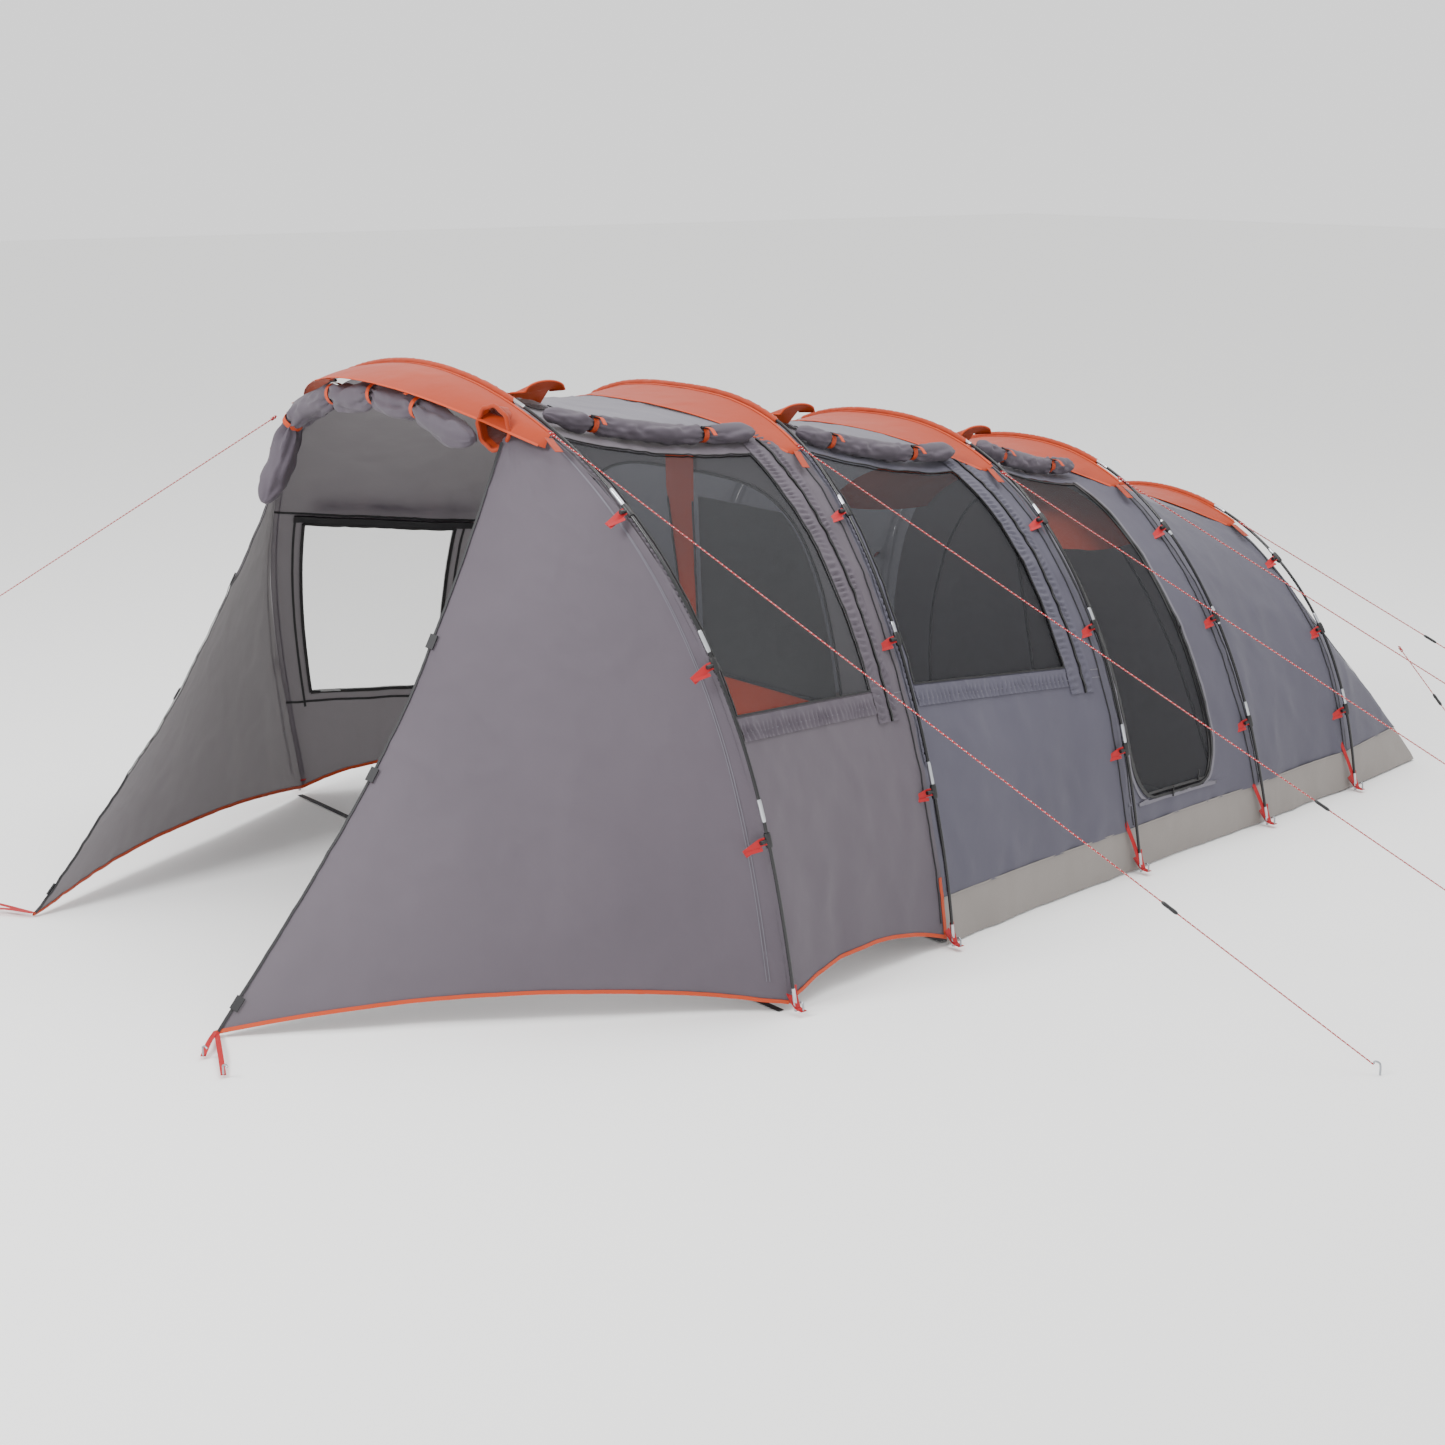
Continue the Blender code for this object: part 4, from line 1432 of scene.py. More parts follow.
@dataclass
class TunnelSkin:
    """The walls and roofs between the five arches, with seams and piping."""

    def build(self) -> None:
        """Makes the panels of both sides and the roof."""
        self.add_wall("front_bay_wall_near", 0, Side.NEAR, NEAR_WINDOW, CLOTH, ["wall_near_1"])
        self.add_wall("living_wall_near", 1, Side.NEAR, NEAR_WINDOW, COOL_CLOTH, ["wall_near_2"])
        self.add_door_wall()
        self.add_wall("bedroom_wall_near", 3, Side.NEAR, None, COOL_CLOTH, ["wall_near_4"])
        self.add_wall("front_bay_wall_far", 0, Side.FAR, FAR_WINDOW, CLOTH, ["wall_far_1"])
        for bay, label in ((1, "living"), (2, "door_bay"), (3, "bedroom")):
            replaced = ["wall_far_2_to_4"] if bay == 1 else []
            self.add_wall(f"{label}_wall_far", bay, Side.FAR, None, COOL_CLOTH, replaced)
        for bay in range(4):
            self.add_roof(bay)
            for side in Side:
                self.add_piping(bay, side)
        self.add_seams()

    def add_wall(
        self,
        name: str,
        bay: int,
        side: Side,
        opening: Opening | None,
        finish: Finish,
        replaced: Sequence[str],
    ) -> None:
        """One bay's wall on one side, with a window's hole where it has one."""
        surface = wall_surface(bay, side)
        hole = opening.hole if opening else None
        stops = [0.0, WALL_MIDDLE, *([opening.low, opening.high] if opening else [0.6]), WALL_TOP]
        rows = joined(*[cells(surface, a, b, 0.5) for a, b in zip(stops, stops[1:])])
        edges = [0.0, *([opening.front, opening.back] if opening else [0.5]), 1.0]
        columns = joined(*[cells(surface, a, b, 0.4, False) for a, b in zip(edges, edges[1:])])
        cloth = Cloth(surface, rows, columns, hole)
        cloth.build(name, finish, replaces=replaced)

    def add_door_wall(self) -> None:
        """The near wall of the third bay, round the side door."""
        plain = wall_surface(2, Side.NEAR)
        surface = Surface(lambda u, v: plain.at(u, door_warp(v, u)), drape=plain.drape)
        stops = [0.0, WALL_MIDDLE, SIDE_DOOR.low, SIDE_DOOR.low + 0.13, SIDE_DOOR.high, WALL_TOP]
        rows = joined(*[cells(plain, a, b, 0.5) for a, b in zip(stops, stops[1:])])
        edges = [0.0, SIDE_DOOR.front, SIDE_DOOR.back, 1.0]
        columns = joined(*[cells(plain, a, b, 0.4, False) for a, b in zip(edges, edges[1:])])
        cloth = Cloth(surface, rows, columns, SIDE_DOOR.hole)
        cloth.build("door_bay_wall_near", COOL_CLOTH, replaces=["wall_near_3"])

    def add_roof(self, bay: int) -> None:
        """One bay's roof, slung between two crowns."""
        surface = bay_surface(bay, Side.NEAR)
        rows = cells(surface, WALL_TOP, math.pi - WALL_TOP, 0.5)
        columns = cells(surface, 0.0, 1.0, CROWN, False)
        cloth = Cloth(surface, rows, columns)
        # The roof's lighter grey is painted top light.
        cloth.build(f"roof_panel_{bay + 1}", LIGHTER_TRIM_AND_TOP_LIT_ROOF_CLOTH, replaces=[f"roof_{bay + 1}"])

    def add_piping(self, bay: int, side: Side) -> None:
        """Narrow black piping down both edges of a bay's wall."""
        surface = wall_surface(bay, side)
        trim = Draft()
        for share in (0.022, 0.972):
            trim.ribbon(trace(surface, [(0.02, share), (WALL_TOP, share)], 0.0015), 0.005, 0.0025)
        trim.build(f"seam_piping_{side.label}_{bay + 1}", BLACK_WEBBING)

    def add_seams(self) -> None:
        """Grey flat-felled seams under the windows and over the far wall's hem."""
        for bay in (0, 1):
            surface = wall_surface(bay, Side.NEAR)
            seam = Draft()
            for turn in (0.455, 0.435):
                seam.ribbon(trace(surface, [(turn, 0.03), (turn, 0.97)], 0.001), 0.004, 0.0012)
            seam.build(f"wall_seam_near_{bay + 1}", LIGHTER_TRIM_AND_TOP_LIT_ROOF_CLOTH)
        surface = wall_surface(0, Side.FAR)
        seam = Draft()
        for turn in (0.17, 0.66):
            seam.ribbon(trace(surface, [(turn, 0.0), (turn, 1.0)], 0.001), 0.008, 0.0015)
            seam.ribbon(trace(surface, [(turn, 0.0), (turn, 1.0)], -0.003), 0.010, 0.0015)
        seam.build("wall_seam_far", BLACK_WEBBING)


# ---- windows


@dataclass
class Windows:
    """The two mesh windows, the film window, and the tapes, zips and pleats round them."""

    pleat_pitch: float = 0.024
    pleat_depth: float = 0.0065

    def build(self) -> None:
        """Makes the three windows."""
        for bay in (0, 1):
            self.add_pane(f"mesh_window_{bay + 1}", bay, Side.NEAR, NEAR_WINDOW, MESH)
            self.add_tapes(f"window_zip_near_{bay + 1}", bay, Side.NEAR, NEAR_WINDOW)
            self.add_pleats(bay)
        self.add_pane("film_window_far", 0, Side.FAR, FAR_WINDOW, FILM)
        self.add_tapes("window_zip_far", 0, Side.FAR, FAR_WINDOW)
        self.add_top_bar()

    def add_pane(self, name: str, bay: int, side: Side, opening: Opening, finish: Finish) -> None:
        """The pane itself, sewn in a little behind the wall."""
        surface = wall_surface(bay, side, TAUT)
        rows = spread(opening.low, opening.high, 24)
        columns = spread(opening.front, opening.back, 24)
        replaced = {
            "mesh_window_1": "window_mesh_near_1",
            "mesh_window_2": "window_mesh_near_2",
            "film_window_far": "window_clear_far_1",
        }
        cloth = Cloth(surface, rows, columns, lift=-0.004)
        cloth.build(name, finish, replaces=[replaced[name]])

    def add_tapes(self, name: str, bay: int, side: Side, opening: Opening) -> None:
        """The zip round the opening, on both faces of the wall."""
        surface = wall_surface(bay, side)
        zips = Draft()
        for lift in (0.002, -0.009):
            low, high = opening.low, opening.high
            width = 0.006 if side is Side.NEAR else 0.014
            for share in (opening.front, opening.back):
                zips.ribbon(trace(surface, [(low, share), (high, share)], lift), width, 0.003)
            for turn in (low, high):
                line = [(turn, opening.front), (turn, opening.back)]
                zips.ribbon(trace(surface, line, lift), width, 0.003)
        zips.build(name, ZIP)

    def add_pleats(self, bay: int) -> None:
        """The gathered strips beside and under a mesh window, with the zip between them."""
        surface = wall_surface(bay, Side.NEAR)

        def puckered(
            name: str, first: tuple[float, float], last: tuple[float, float], along_rows: bool
        ) -> None:
            """Adds one strip whose folds cross it."""
            (u0, v0), (u1, v1) = first, last
            length = (surface.at(u1, v0) - surface.at(u0, v0)).length
            if not along_rows:
                length = (surface.at(u0, v1) - surface.at(u0, v0)).length
            long = round(length / 0.005)
            rows = []
            for i in range(long + 1):
                row = []
                for j in range(9):
                    s, t = i / long, j / 8
                    u, v = (u0 + (u1 - u0) * s, v0 + (v1 - v0) * t)
                    if not along_rows:
                        u, v = (u0 + (u1 - u0) * t, v0 + (v1 - v0) * s)
                    wander = noise.noise(Vector((s * length * 9, t * 1.3, bay + 4.0)))
                    phase = s * length / self.pleat_pitch + 0.8 * wander
                    fold = math.sin(2 * math.pi * phase) * math.sin(math.pi * min(t * 1.4, 1)) ** 0.5
                    edge = 0.25 if j in (0, 8) else 1.0
                    lift = 0.005 + self.pleat_depth * fold * edge * (0.6 + 0.4 * wander)
                    row.append(surface.cloth(u, v, lift))
                rows.append(row)
            piece = Draft().grid(rows).build(name, CLOTH if bay == 0 else COOL_CLOTH)
            declare_sheet(piece, rows)

        puckered(f"gathered_strip_{bay + 1}", (0.40, 0.803), (1.22, 0.868), True)
        puckered(f"gathered_fly_{bay + 1}", (0.40, 0.884), (1.22, 0.925), True)
        puckered(f"gathered_edge_{bay + 1}", (0.30, 0.008), (1.22, 0.040), True)
        puckered(f"gathered_sill_{bay + 1}", (0.420, 0.045), (0.463, 0.80), False)
        trim = Draft()
        for share, sway in ((0.876, 0.004),):
            line = []
            for step in range(81):
                turn = 0.40 + 0.80 * step / 80
                wave = sway * math.sin(step * 1.15) * (0.5 + 0.5 * math.sin(step * 0.31))
                line.append(surface.frame_at(turn, share + wave, 0.004))
            trim.ribbon(line, 0.008, 0.006)
        trim.build(f"cover_zip_{bay + 1}", ZIP)

    def add_top_bar(self) -> None:
        """The black bar over the film window, on both faces of the wall."""
        surface = wall_surface(0, Side.FAR)
        bar = Draft()
        for lift in (0.002, -0.012):
            bar.ribbon(trace(surface, [(0.645, 0.08), (0.645, 0.80)], lift), 0.034, 0.004)
        for share in (0.085, 0.765):
            bar.ribbon(trace(surface, [(0.16, share), (0.645, share)], -0.008), 0.010, 0.003)
        bar.build("window_top_bar_far", BLACK_WEBBING)


# ---- side door


@dataclass
class SideDoor:
    """The mesh door of the third bay, which swings on its rear edge."""

    margin_turn: float = 0.012
    margin_share: float = 0.016

    def build(self) -> None:
        """Makes the leaf, its edge tape and its zip pulls."""
        plain = wall_surface(2, Side.NEAR, TAUT)
        surface = Surface(lambda u, v: plain.at(u, door_warp(v, u)), drape=TAUT)
        low, high = SIDE_DOOR.low + self.margin_turn, SIDE_DOOR.high - self.margin_turn
        front = SIDE_DOOR.front + self.margin_share
        back = SIDE_DOOR.back - self.margin_share
        rows = joined(spread(low, low + 0.12, 8), spread(low + 0.12, high, 24))
        columns = spread(front, back, 20)
        leaf = Cloth(surface, rows, columns, lift=-0.003)
        leaf.build("side_door_leaf", MESH, body="side_door", replaces=["side_door_mesh"])
        edge = Draft()
        line = [(turn, front) for turn in reversed(rows)] + [(low, v) for v in columns[1:-1]]
        line += [(turn, back) for turn in rows]
        frames = [surface.frame_at(u, v, -0.002) for u, v in line]
        edge.ribbon(frames, 0.012, 0.004)
        edge.ribbon(trace(surface, [(high, front), (high, back)], -0.002), 0.012, 0.004)
        edge.build("side_door_edge", ZIP, "side_door")
        self.add_frame()

    def add_frame(self) -> None:
        """The zip tape on the wall round the door, and the pale bound edge outside it."""
        plain = wall_surface(2, Side.NEAR)
        surface = Surface(lambda u, v: plain.at(u, door_warp(v, u)), drape=plain.drape)
        low, high = SIDE_DOOR.low, SIDE_DOOR.high
        rows = joined(spread(low, low + 0.13, 14), spread(low + 0.13, high, 40))
        columns = spread(SIDE_DOOR.front, SIDE_DOOR.back, 30)
        for name, out, width, finish in (
            ("side_door_zip", 0.0, 0.012, ZIP), ("side_door_binding", 0.016, 0.014, LIGHTER_TRIM_AND_TOP_LIT_ROOF_CLOTH)
        ):
            line = [(turn, SIDE_DOOR.front - out) for turn in reversed(rows)]
            line += [(low - out * 0.4, v) for v in columns[1:-1]]
            line += [(turn, SIDE_DOOR.back + out) for turn in rows]
            frames = [surface.frame_at(u, v, 0.002) for u, v in line]
            tape = Draft().ribbon(frames, width, 0.0025)
            tape.build(name, finish)
        pulls = Draft()
        for turn, share in ((0.16, 0.60), (0.14, 0.34), (0.55, SIDE_DOOR.back)):
            point, normal = surface.frame_at(turn, share, 0.006)
            hang = [point - Vector((0, 0, 0.011 * i)) + normal * 0.004 for i in range(5)]
            pulls.tube(hang, lambda s, _: 0.0025 + 0.002 * s, 8)
        pulls.build("side_door_pulls", NYLON)


# ---- porch wings


@dataclass
class PorchWings:
    """The two cloth wings that reach forward from the first arch to the ground."""

    binding: float = 0.014
    overlap: float = -0.012

    def build(self) -> None:
        """Makes both wings."""
        for side in Side:
            self.add_wing(side)
        self.add_tip_pegs()

    def surface(self, side: Side) -> Surface:
        """The wing's cloth, read at a share of its height and a share of its width."""
        return Surface(
            lambda u, v: FORM.wing(u, v, side),
            lambda p: Vector((side.value, -0.35, 0.2)),
            Drape(0.014, 0.0065),
        )

    def add_wing(self, side: Side) -> None:
        """One wing with its bound hem, its front edge and its tabs."""
        surface = self.surface(side)
        rows = cells(surface, 0.0, 0.998, 0.0)
        columns = cells(surface, self.overlap, 1.0, 0.12, False)
        wing = Cloth(surface, rows, columns)
        wing.build(f"porch_wing_{side.label}", CLOTH, replaces=[f"wing_{side.label}"])
        hem = Draft().ribbon(trace(surface, [(0.0, 0.0), (0.0, 1.0)], 0.0015), self.binding, 0.002)
        hem.ribbon(trace(surface, [(0.0, 0.0), (0.0, 1.0)], -0.0035), self.binding, 0.002)
        hem.build(f"wing_hem_{side.label}", BINDING)
        front = Draft()
        for lift in (0.0015, -0.0045):
            front.ribbon(trace(surface, [(0.0, 0.995), (0.99, 0.995)], lift), 0.009, 0.003)
        front.build(f"wing_edge_{side.label}", BLACK_WEBBING)
        seam = Draft()
        for share in (0.03, 0.036):
            seam.ribbon(trace(surface, [(0.02, share), (0.99, share)], 0.0008), 0.003, 0.0014)
        seam.build(f"wing_seam_{side.label}", LIGHTER_TRIM_AND_TOP_LIT_ROOF_CLOTH)
        tabs = Draft()
        for height in (0.035, 0.39, 0.62):
            middle, normal = surface.frame_at(height, 0.992, 0.004)
            up = (surface.at(height + 0.02, 0.99) - surface.at(height, 0.99)).normalized()
            tabs.ribbon([(middle + up * r, normal) for r in spread(-0.026, 0.026, 6)], 0.03, 0.006)
        tabs.build(f"wing_tabs_{side.label}", BLACK_WEBBING)

    def add_tip_pegs(self) -> None:
        """The loops and the pegs at the foot of the wings' front edges."""
        loops, pegs = Draft(), Draft()
        for side in Side:
            tip = FORM.wing(0.0, 1.0, side)
            for ahead, across in ((0.13, 0.17), (0.15, 0.36)):
                foot = Vector((tip.x + side.value * across, tip.y - ahead, 0.012))
                middle = tip.lerp(foot, 0.55) + Vector((0, 0, 0.012))
                path = smooth_path([tip + Vector((0, 0, 0.006)), middle, foot], 14)
                loops.ribbon([(p, Vector((0, 0, 1))) for p in path], 0.018, 0.002)
                pin = [foot + Vector((0, 0, 0.0035 + 0.006 * i)) for i in range(6)]
                pin += [pin[-1] + Vector((side.value * 0.010, 0.004, 0.005))]
                pin += [pin[-1] + Vector((side.value * 0.010, 0.002, -0.006))]
                pegs.tube(pin, 0.0036, 8)
        loops.build("wing_tip_loops", RED_WEBBING)
        pegs.build("wing_tip_pegs", ZINC_STEEL)


# ---- orange bands


@dataclass
class RoofBands:
    """The orange crescents that are sewn in front of each arch's crown."""

    rows: int = 110
    columns: int = 12

    def build(self) -> None:
        """Makes the five crescents with their edge seams."""
        ends = (FORM.band_first, math.pi - FORM.band_first)
        for number in range(1, 6):
            surface = Surface(
                lambda u, v, number=number: FORM.band(number, u, v), drape=Drape(0.003, 0.002)
            )
            cloth = Cloth(surface, spread(*ends, self.rows), spread(0.0, 1.0, self.columns))
            cloth.build(f"crown_band_{number}", ORANGE, replaces=[f"roof_band_{number}"])
            self.add_edge(number, surface)

    def add_edge(self, number: int, surface: Surface) -> None:
        """The turned and stitched front edge, with a bow of webbing at each end."""
        ends = (FORM.band_first + 0.01, math.pi - FORM.band_first - 0.01)
        edge = Draft()
        edge.ribbon([surface.frame_at(u, 0.985, 0.001) for u in spread(*ends, 90)], 0.009, 0.002)
        edge.ribbon([surface.frame_at(u, 0.03, 0.001) for u in spread(*ends, 90)], 0.009, 0.002)
        edge.build(f"band_edge_{number}", BINDING)
        tabs = Draft()
        arch = FORM.arches[number - 1]
        for near, turn in ((True, FORM.band_first), (False, math.pi - FORM.band_first)):
            start = surface.at(turn, 0.5)
            down = (arch.point(turn - 0.05 if near else turn + 0.05) - arch.point(turn)).normalized()
            out = from_axis(start).normalized()
            forward = Vector((0, -1, 0))
            path = [start, start + down * 0.05 + out * 0.01 + forward * 0.02]
            path += [start + down * 0.11 + out * 0.016 + forward * 0.035]
            tabs.ribbon([(p, out) for p in smooth_path(path, 10)], 0.03, 0.0018)
        tabs.build(f"band_tabs_{number}", ORANGE)


# ---- rolled covers


@dataclass
class RolledCovers:
    """The doors and window covers, rolled up and held by toggles."""

    fill: float = 0.4

    def build(self) -> None:
        """Makes the five rolls."""
        self.add_front_roll()
        high = NEAR_WINDOW.high + 0.06
        for bay, pinches in ((0, (0.22, 0.74)), (1, (0.2, 0.72))):
            path = self.along(bay, high, 0.045, 0.86, 0.043)
            self.add_roll(
                f"cover_roll_near_{bay + 1}", path, 0.036, pinches, f"window_roll_near_{bay + 1}"
            )
        path = self.along(0, math.pi - FAR_WINDOW.high - 0.06, 0.14, 0.83, 0.043)
        self.add_roll("cover_roll_far_1", path, 0.032, (0.3, 0.7), "window_roll_far_1")
        path = self.along(2, SIDE_DOOR.high + 0.06, 0.06, 0.78, 0.043)
        self.add_roll("door_cover_roll", path, 0.035, (0.25, 0.75), "side_door_roll")

    def along(self, bay: int, turn: float, first: float, last: float, out: float) -> list[Vector]:
        """The middle line of a roll that hangs outside a bay's wall."""
        inset = FORM.inset - out
        return evenly([FORM.bay(bay, turn, share, inset) for share in spread(first, last, 60)], 90)

    def add_front_roll(self) -> None:
        """The porch door, rolled up under the first arch and down its near side."""
        arch = FORM.arches[0]
        knots = []
        for turn in spread(math.pi - 1.27, 1.22, 9):
            knots.append(arch.point(turn, 0.11) - Vector((0, 0.19, 0)))
        for height in (0.97, 0.92, 0.86, 0.80):
            knots.append(FORM.wing(height, 1.0, Side.FAR) + Vector((0.05, -0.065, -0.02)))
        head, tail = knots[:10], knots[10:]
        path = smooth_path([*reversed(tail), *head], 300)
        pinches = (0.20, 0.43, 0.62, 0.80)
        stops = (0.0, *pinches, 1.0)
        hung = []
        for index, point in enumerate(path):
            share = index / (len(path) - 1)
            before = max(stop for stop in stops if stop <= share)
            after = min((stop for stop in stops if stop > share), default=1.0)
            droop = math.sin(math.pi * (share - before) / max(after - before, 0.01))
            hung.append(point - Vector((0, 0, 0.022 * droop)))
        self.add_roll("porch_door_roll", hung, 0.052, pinches, "front_door_roll")

    def add_roll(
        self,
        name: str,
        path: Sequence[Vector],
        radius: float,
        pinches: Sequence[float],
        replaced: str,
    ) -> None:
        """One roll of cloth with its toggles.

        Args:
            name: The roll's name.
            path: Its middle line.
            radius: Its radius between the toggles.
            pinches: Where the toggles are, as shares of its length.
            replaced: The frame's node that it stands for.
        """
        seed = Vector((len(name) * 1.7, len(replaced) * 0.9, 2.0))

        def size(share: float, angle: float) -> float:
            """The radius with its pinches, its wound layers and its slack folds."""
            pinch = sum(bell(share - place, 0.022) for place in pinches)
            ends = min(share, 1 - share)
            around = Vector((math.cos(angle), math.sin(angle), share * 12))
            fold = noise.noise(around * 1.8 + seed)
            near = min(abs(share - place) for place in pinches)
            ray = bell(near, 0.06) * math.sin(angle * 9 + 3 * fold)
            layer = math.sin(angle * 3 + share * 14 + 2.5 * fold)
            lump = noise.noise(Vector((share * 9, 0, 0)) + seed)
            shape = 1 - 0.42 * pinch + 0.12 * lump + 0.09 * layer + 0.2 * fold + 0.09 * ray
            return radius * shape * max(min(ends * 16, 1.0), 0.02) ** 0.4

        roll = Draft().tube(path, size, 44)
        piece = roll.build(name, CLOTH, replaces=[replaced])
        straps, toggles = Draft(), Draft()
        for place in pinches:
            at = round(place * (len(path) - 1))
            middle = path[at]
            along = (path[min(at + 1, len(path) - 1)] - path[at - 1]).normalized()
            out = from_axis(middle)
            out = (out - along * out.dot(along)).normalized()
            down = along.cross(out)
            ring = []
            for step in range(25):
                angle = 2 * math.pi * step / 24
                way = out * math.cos(angle) + down * math.sin(angle)
                ring.append((middle + way * radius * 0.78, way))
            straps.ribbon(ring, 0.022, 0.002)
            hang = down if down.z < 0 else -down
            knob = middle + out * (radius * 0.95) + hang * 0.004
            toggles.tube([knob + along * r for r in spread(-0.022, 0.022, 8)], 0.0055, 10)
            tail = [knob, knob + hang * 0.03 + out * 0.012, knob + hang * 0.065 + out * 0.006]
            straps.ribbon([(p, out) for p in smooth_path(tail, 8)], 0.018, 0.0016)
        straps.build(f"{name}_straps", BINDING)
        toggles.build(f"{name}_toggles", NYLON)


# ---- vents


@dataclass
class Vents:
    """The hooded vents beside the bands, each with mesh under a flap that tilts."""

    places: tuple[tuple[int, float], ...] = ((0, 0.17), (1, 0.15), (2, 0.14))
    turn: float = 1.36
    inset: float = -0.012
    lift: float = math.radians(25)
    length: float = 0.10
    width: float = 0.17
    crown: float = 0.028

    def build(self) -> None:
        """Makes the three vents."""
        for number, (bay, share) in enumerate(self.places, 1):
            self.add_flap(number, bay, share)
            self.add_mesh(number, bay, share)
            self.add_collar(number, bay, share)
        self.add_front_vent()

    def add_front_vent(self) -> None:
        """The fixed hooped vent at the near end of the first band."""
        arch = FORM.arches[0]
        middle = arch.point(1.21, 0.045) - Vector((0, 0.13, 0.015))
        facing = Vector((0.42, -0.86, -0.12)).normalized()
        across = facing.cross(Vector((0, 0, 1))).normalized()
        up = across.cross(facing)

        def ring(back: float, size: float) -> list[Vector]:
            """One hoop of the vent, the given distance behind its mouth."""
            points = []
            for step in range(37):
                angle = 2 * math.pi * step / 36
                pucker = 1 + 0.04 * math.sin(angle * 8)
                wide = across * (math.cos(angle) * 0.062 * size * pucker)
                tall = up * (math.sin(angle) * 0.078 * size * pucker)
                points.append(middle - facing * back + wide + tall)
            return points

        depths = spread(0.0, 0.13, 12)
        rows = [ring(back, 1 - 3.2 * back - 12 * back**2 * 0.5) for back in depths]
        hood = Draft().grid(rows).build("front_vent_hood", ORANGE)
        declare_sheet(hood, rows)
        rim = Draft().tube(ring(-0.002, 1.02)[:-1] + [ring(-0.002, 1.02)[1]], 0.008, 10)
        rim.build("front_vent_rim", ORANGE)
        net = [[middle - facing * 0.035 + (p - middle) * share for p in ring(0.0, 0.9)]
               for share in spread(0.04, 1.0, 6)]
        screen = Draft().grid(net).build("front_vent_mesh", MESH)
        declare_sheet(screen, net)

    def bay_length(self, bay: int) -> float:
        """The length of a bay's roof where its vent stands."""
        return (FORM.arches[bay].point(1.3) - FORM.arches[bay + 1].point(1.3)).length

    def axes(self, bay: int, share: float) -> tuple[Vector, Vector, Vector, Vector]:
        """The hinge's middle, and the ways down the roof, along the tent and out."""
        hinge = self.on_bay(bay, self.turn, share)
        down = (self.on_bay(bay, self.turn - 0.10, share) - hinge).normalized()
        side = Vector((0, 1, 0))
        out = side.cross(down).normalized()
        out = out if out.z > 0 else -out
        return hinge, down, side, out

    def on_bay(self, bay: int, turn: float, share: float) -> Vector:
        """A point a little outside the bay's cloth."""
        return FORM.bay(bay, turn, share, self.inset)

    def hood(self, bay: int, share: float, reach: float, across: float) -> Vector:
        """A point of the flap's upper face."""
        hinge, down, side, out = self.axes(bay, share)
        arc = math.sqrt(max(1 - (2 * across / self.width) ** 2, 0.0))
        crown = self.crown * math.sin(CROWN * min(reach / self.length, 1.0))
        rise = reach * math.sin(self.lift) * (0.8 + 0.2 * arc) + crown * arc
        return hinge + down * (reach * math.cos(self.lift)) + side * across + out * rise

    def add_flap(self, number: int, bay: int, share: float) -> None:
        """The flap's cloth with the stiff rod in its edge."""
        half = self.width / 2
        surface = Surface(
            lambda u, v: self.hood(bay, share, u, v),
            lambda p: Vector((0.3, 0, 1)),
            Drape(0.0015, 0.001),
        )
        cloth = Cloth(surface, spread(0.0, self.length, 12), spread(-half, half, 20))
        body = f"vent_{number}"
        cloth.build(f"vent_hood_{number}", ORANGE, body=body, replaces=[f"vent_flap_{number}"])
        edge = [self.hood(bay, share, r, -half) for r in spread(0.004, self.length, 8)]
        edge += [self.hood(bay, share, self.length, a) for a in spread(-half, half, 20)[1:]]
        edge += [self.hood(bay, share, r, half) for r in spread(self.length, 0.004, 8)[1:]]
        rod = Draft().tube(edge, 0.0045, 10)
        rod.build(f"vent_edge_{number}", BINDING, body)

    def add_collar(self, number: int, bay: int, share: float) -> None:
        """The cloth that carries the flap's hinge line up from the roof."""
        hinge, down, side, _ = self.axes(bay, share)
        surface = wall_surface(bay, Side.NEAR)
        length = self.bay_length(bay)
        rows = []
        for rise in spread(0.0, 1.0, 5):
            row = []
            for across in spread(-0.5, 0.5, 14):
                wide = across * self.width
                foot = surface.cloth(self.turn + 0.045, share + 1.25 * wide / length)
                top = hinge - down * 0.003 + side * wide
                row.append(foot.lerp(top, rise))
            rows.append(row)
        collar = Draft().grid(rows).build(f"vent_collar_{number}", ORANGE)
        declare_sheet(collar, rows)

    def add_mesh(self, number: int, bay: int, share: float) -> None:
        """The dark mesh that the vent breathes through, on the roof under the flap."""
        surface = wall_surface(bay, Side.NEAR)
        reach = 0.92 * self.width / 2 / self.bay_length(bay)
        low, high = self.turn - 0.052, self.turn - 0.002
        left, right = share - reach, share + reach
        patch = Cloth(surface, spread(low, high, 8), spread(left, right, 12), lift=0.004)
        patch.build(f"vent_mesh_{number}", MESH)
        rim = Draft()
        line = [(high, left), (low, left), (low, right), (high, right)]
        rim.ribbon(trace(surface, line, 0.005, 0.012), 0.010, 0.003)
        rim.build(f"vent_rim_{number}", BLACK_WEBBING)


# ---- rear end


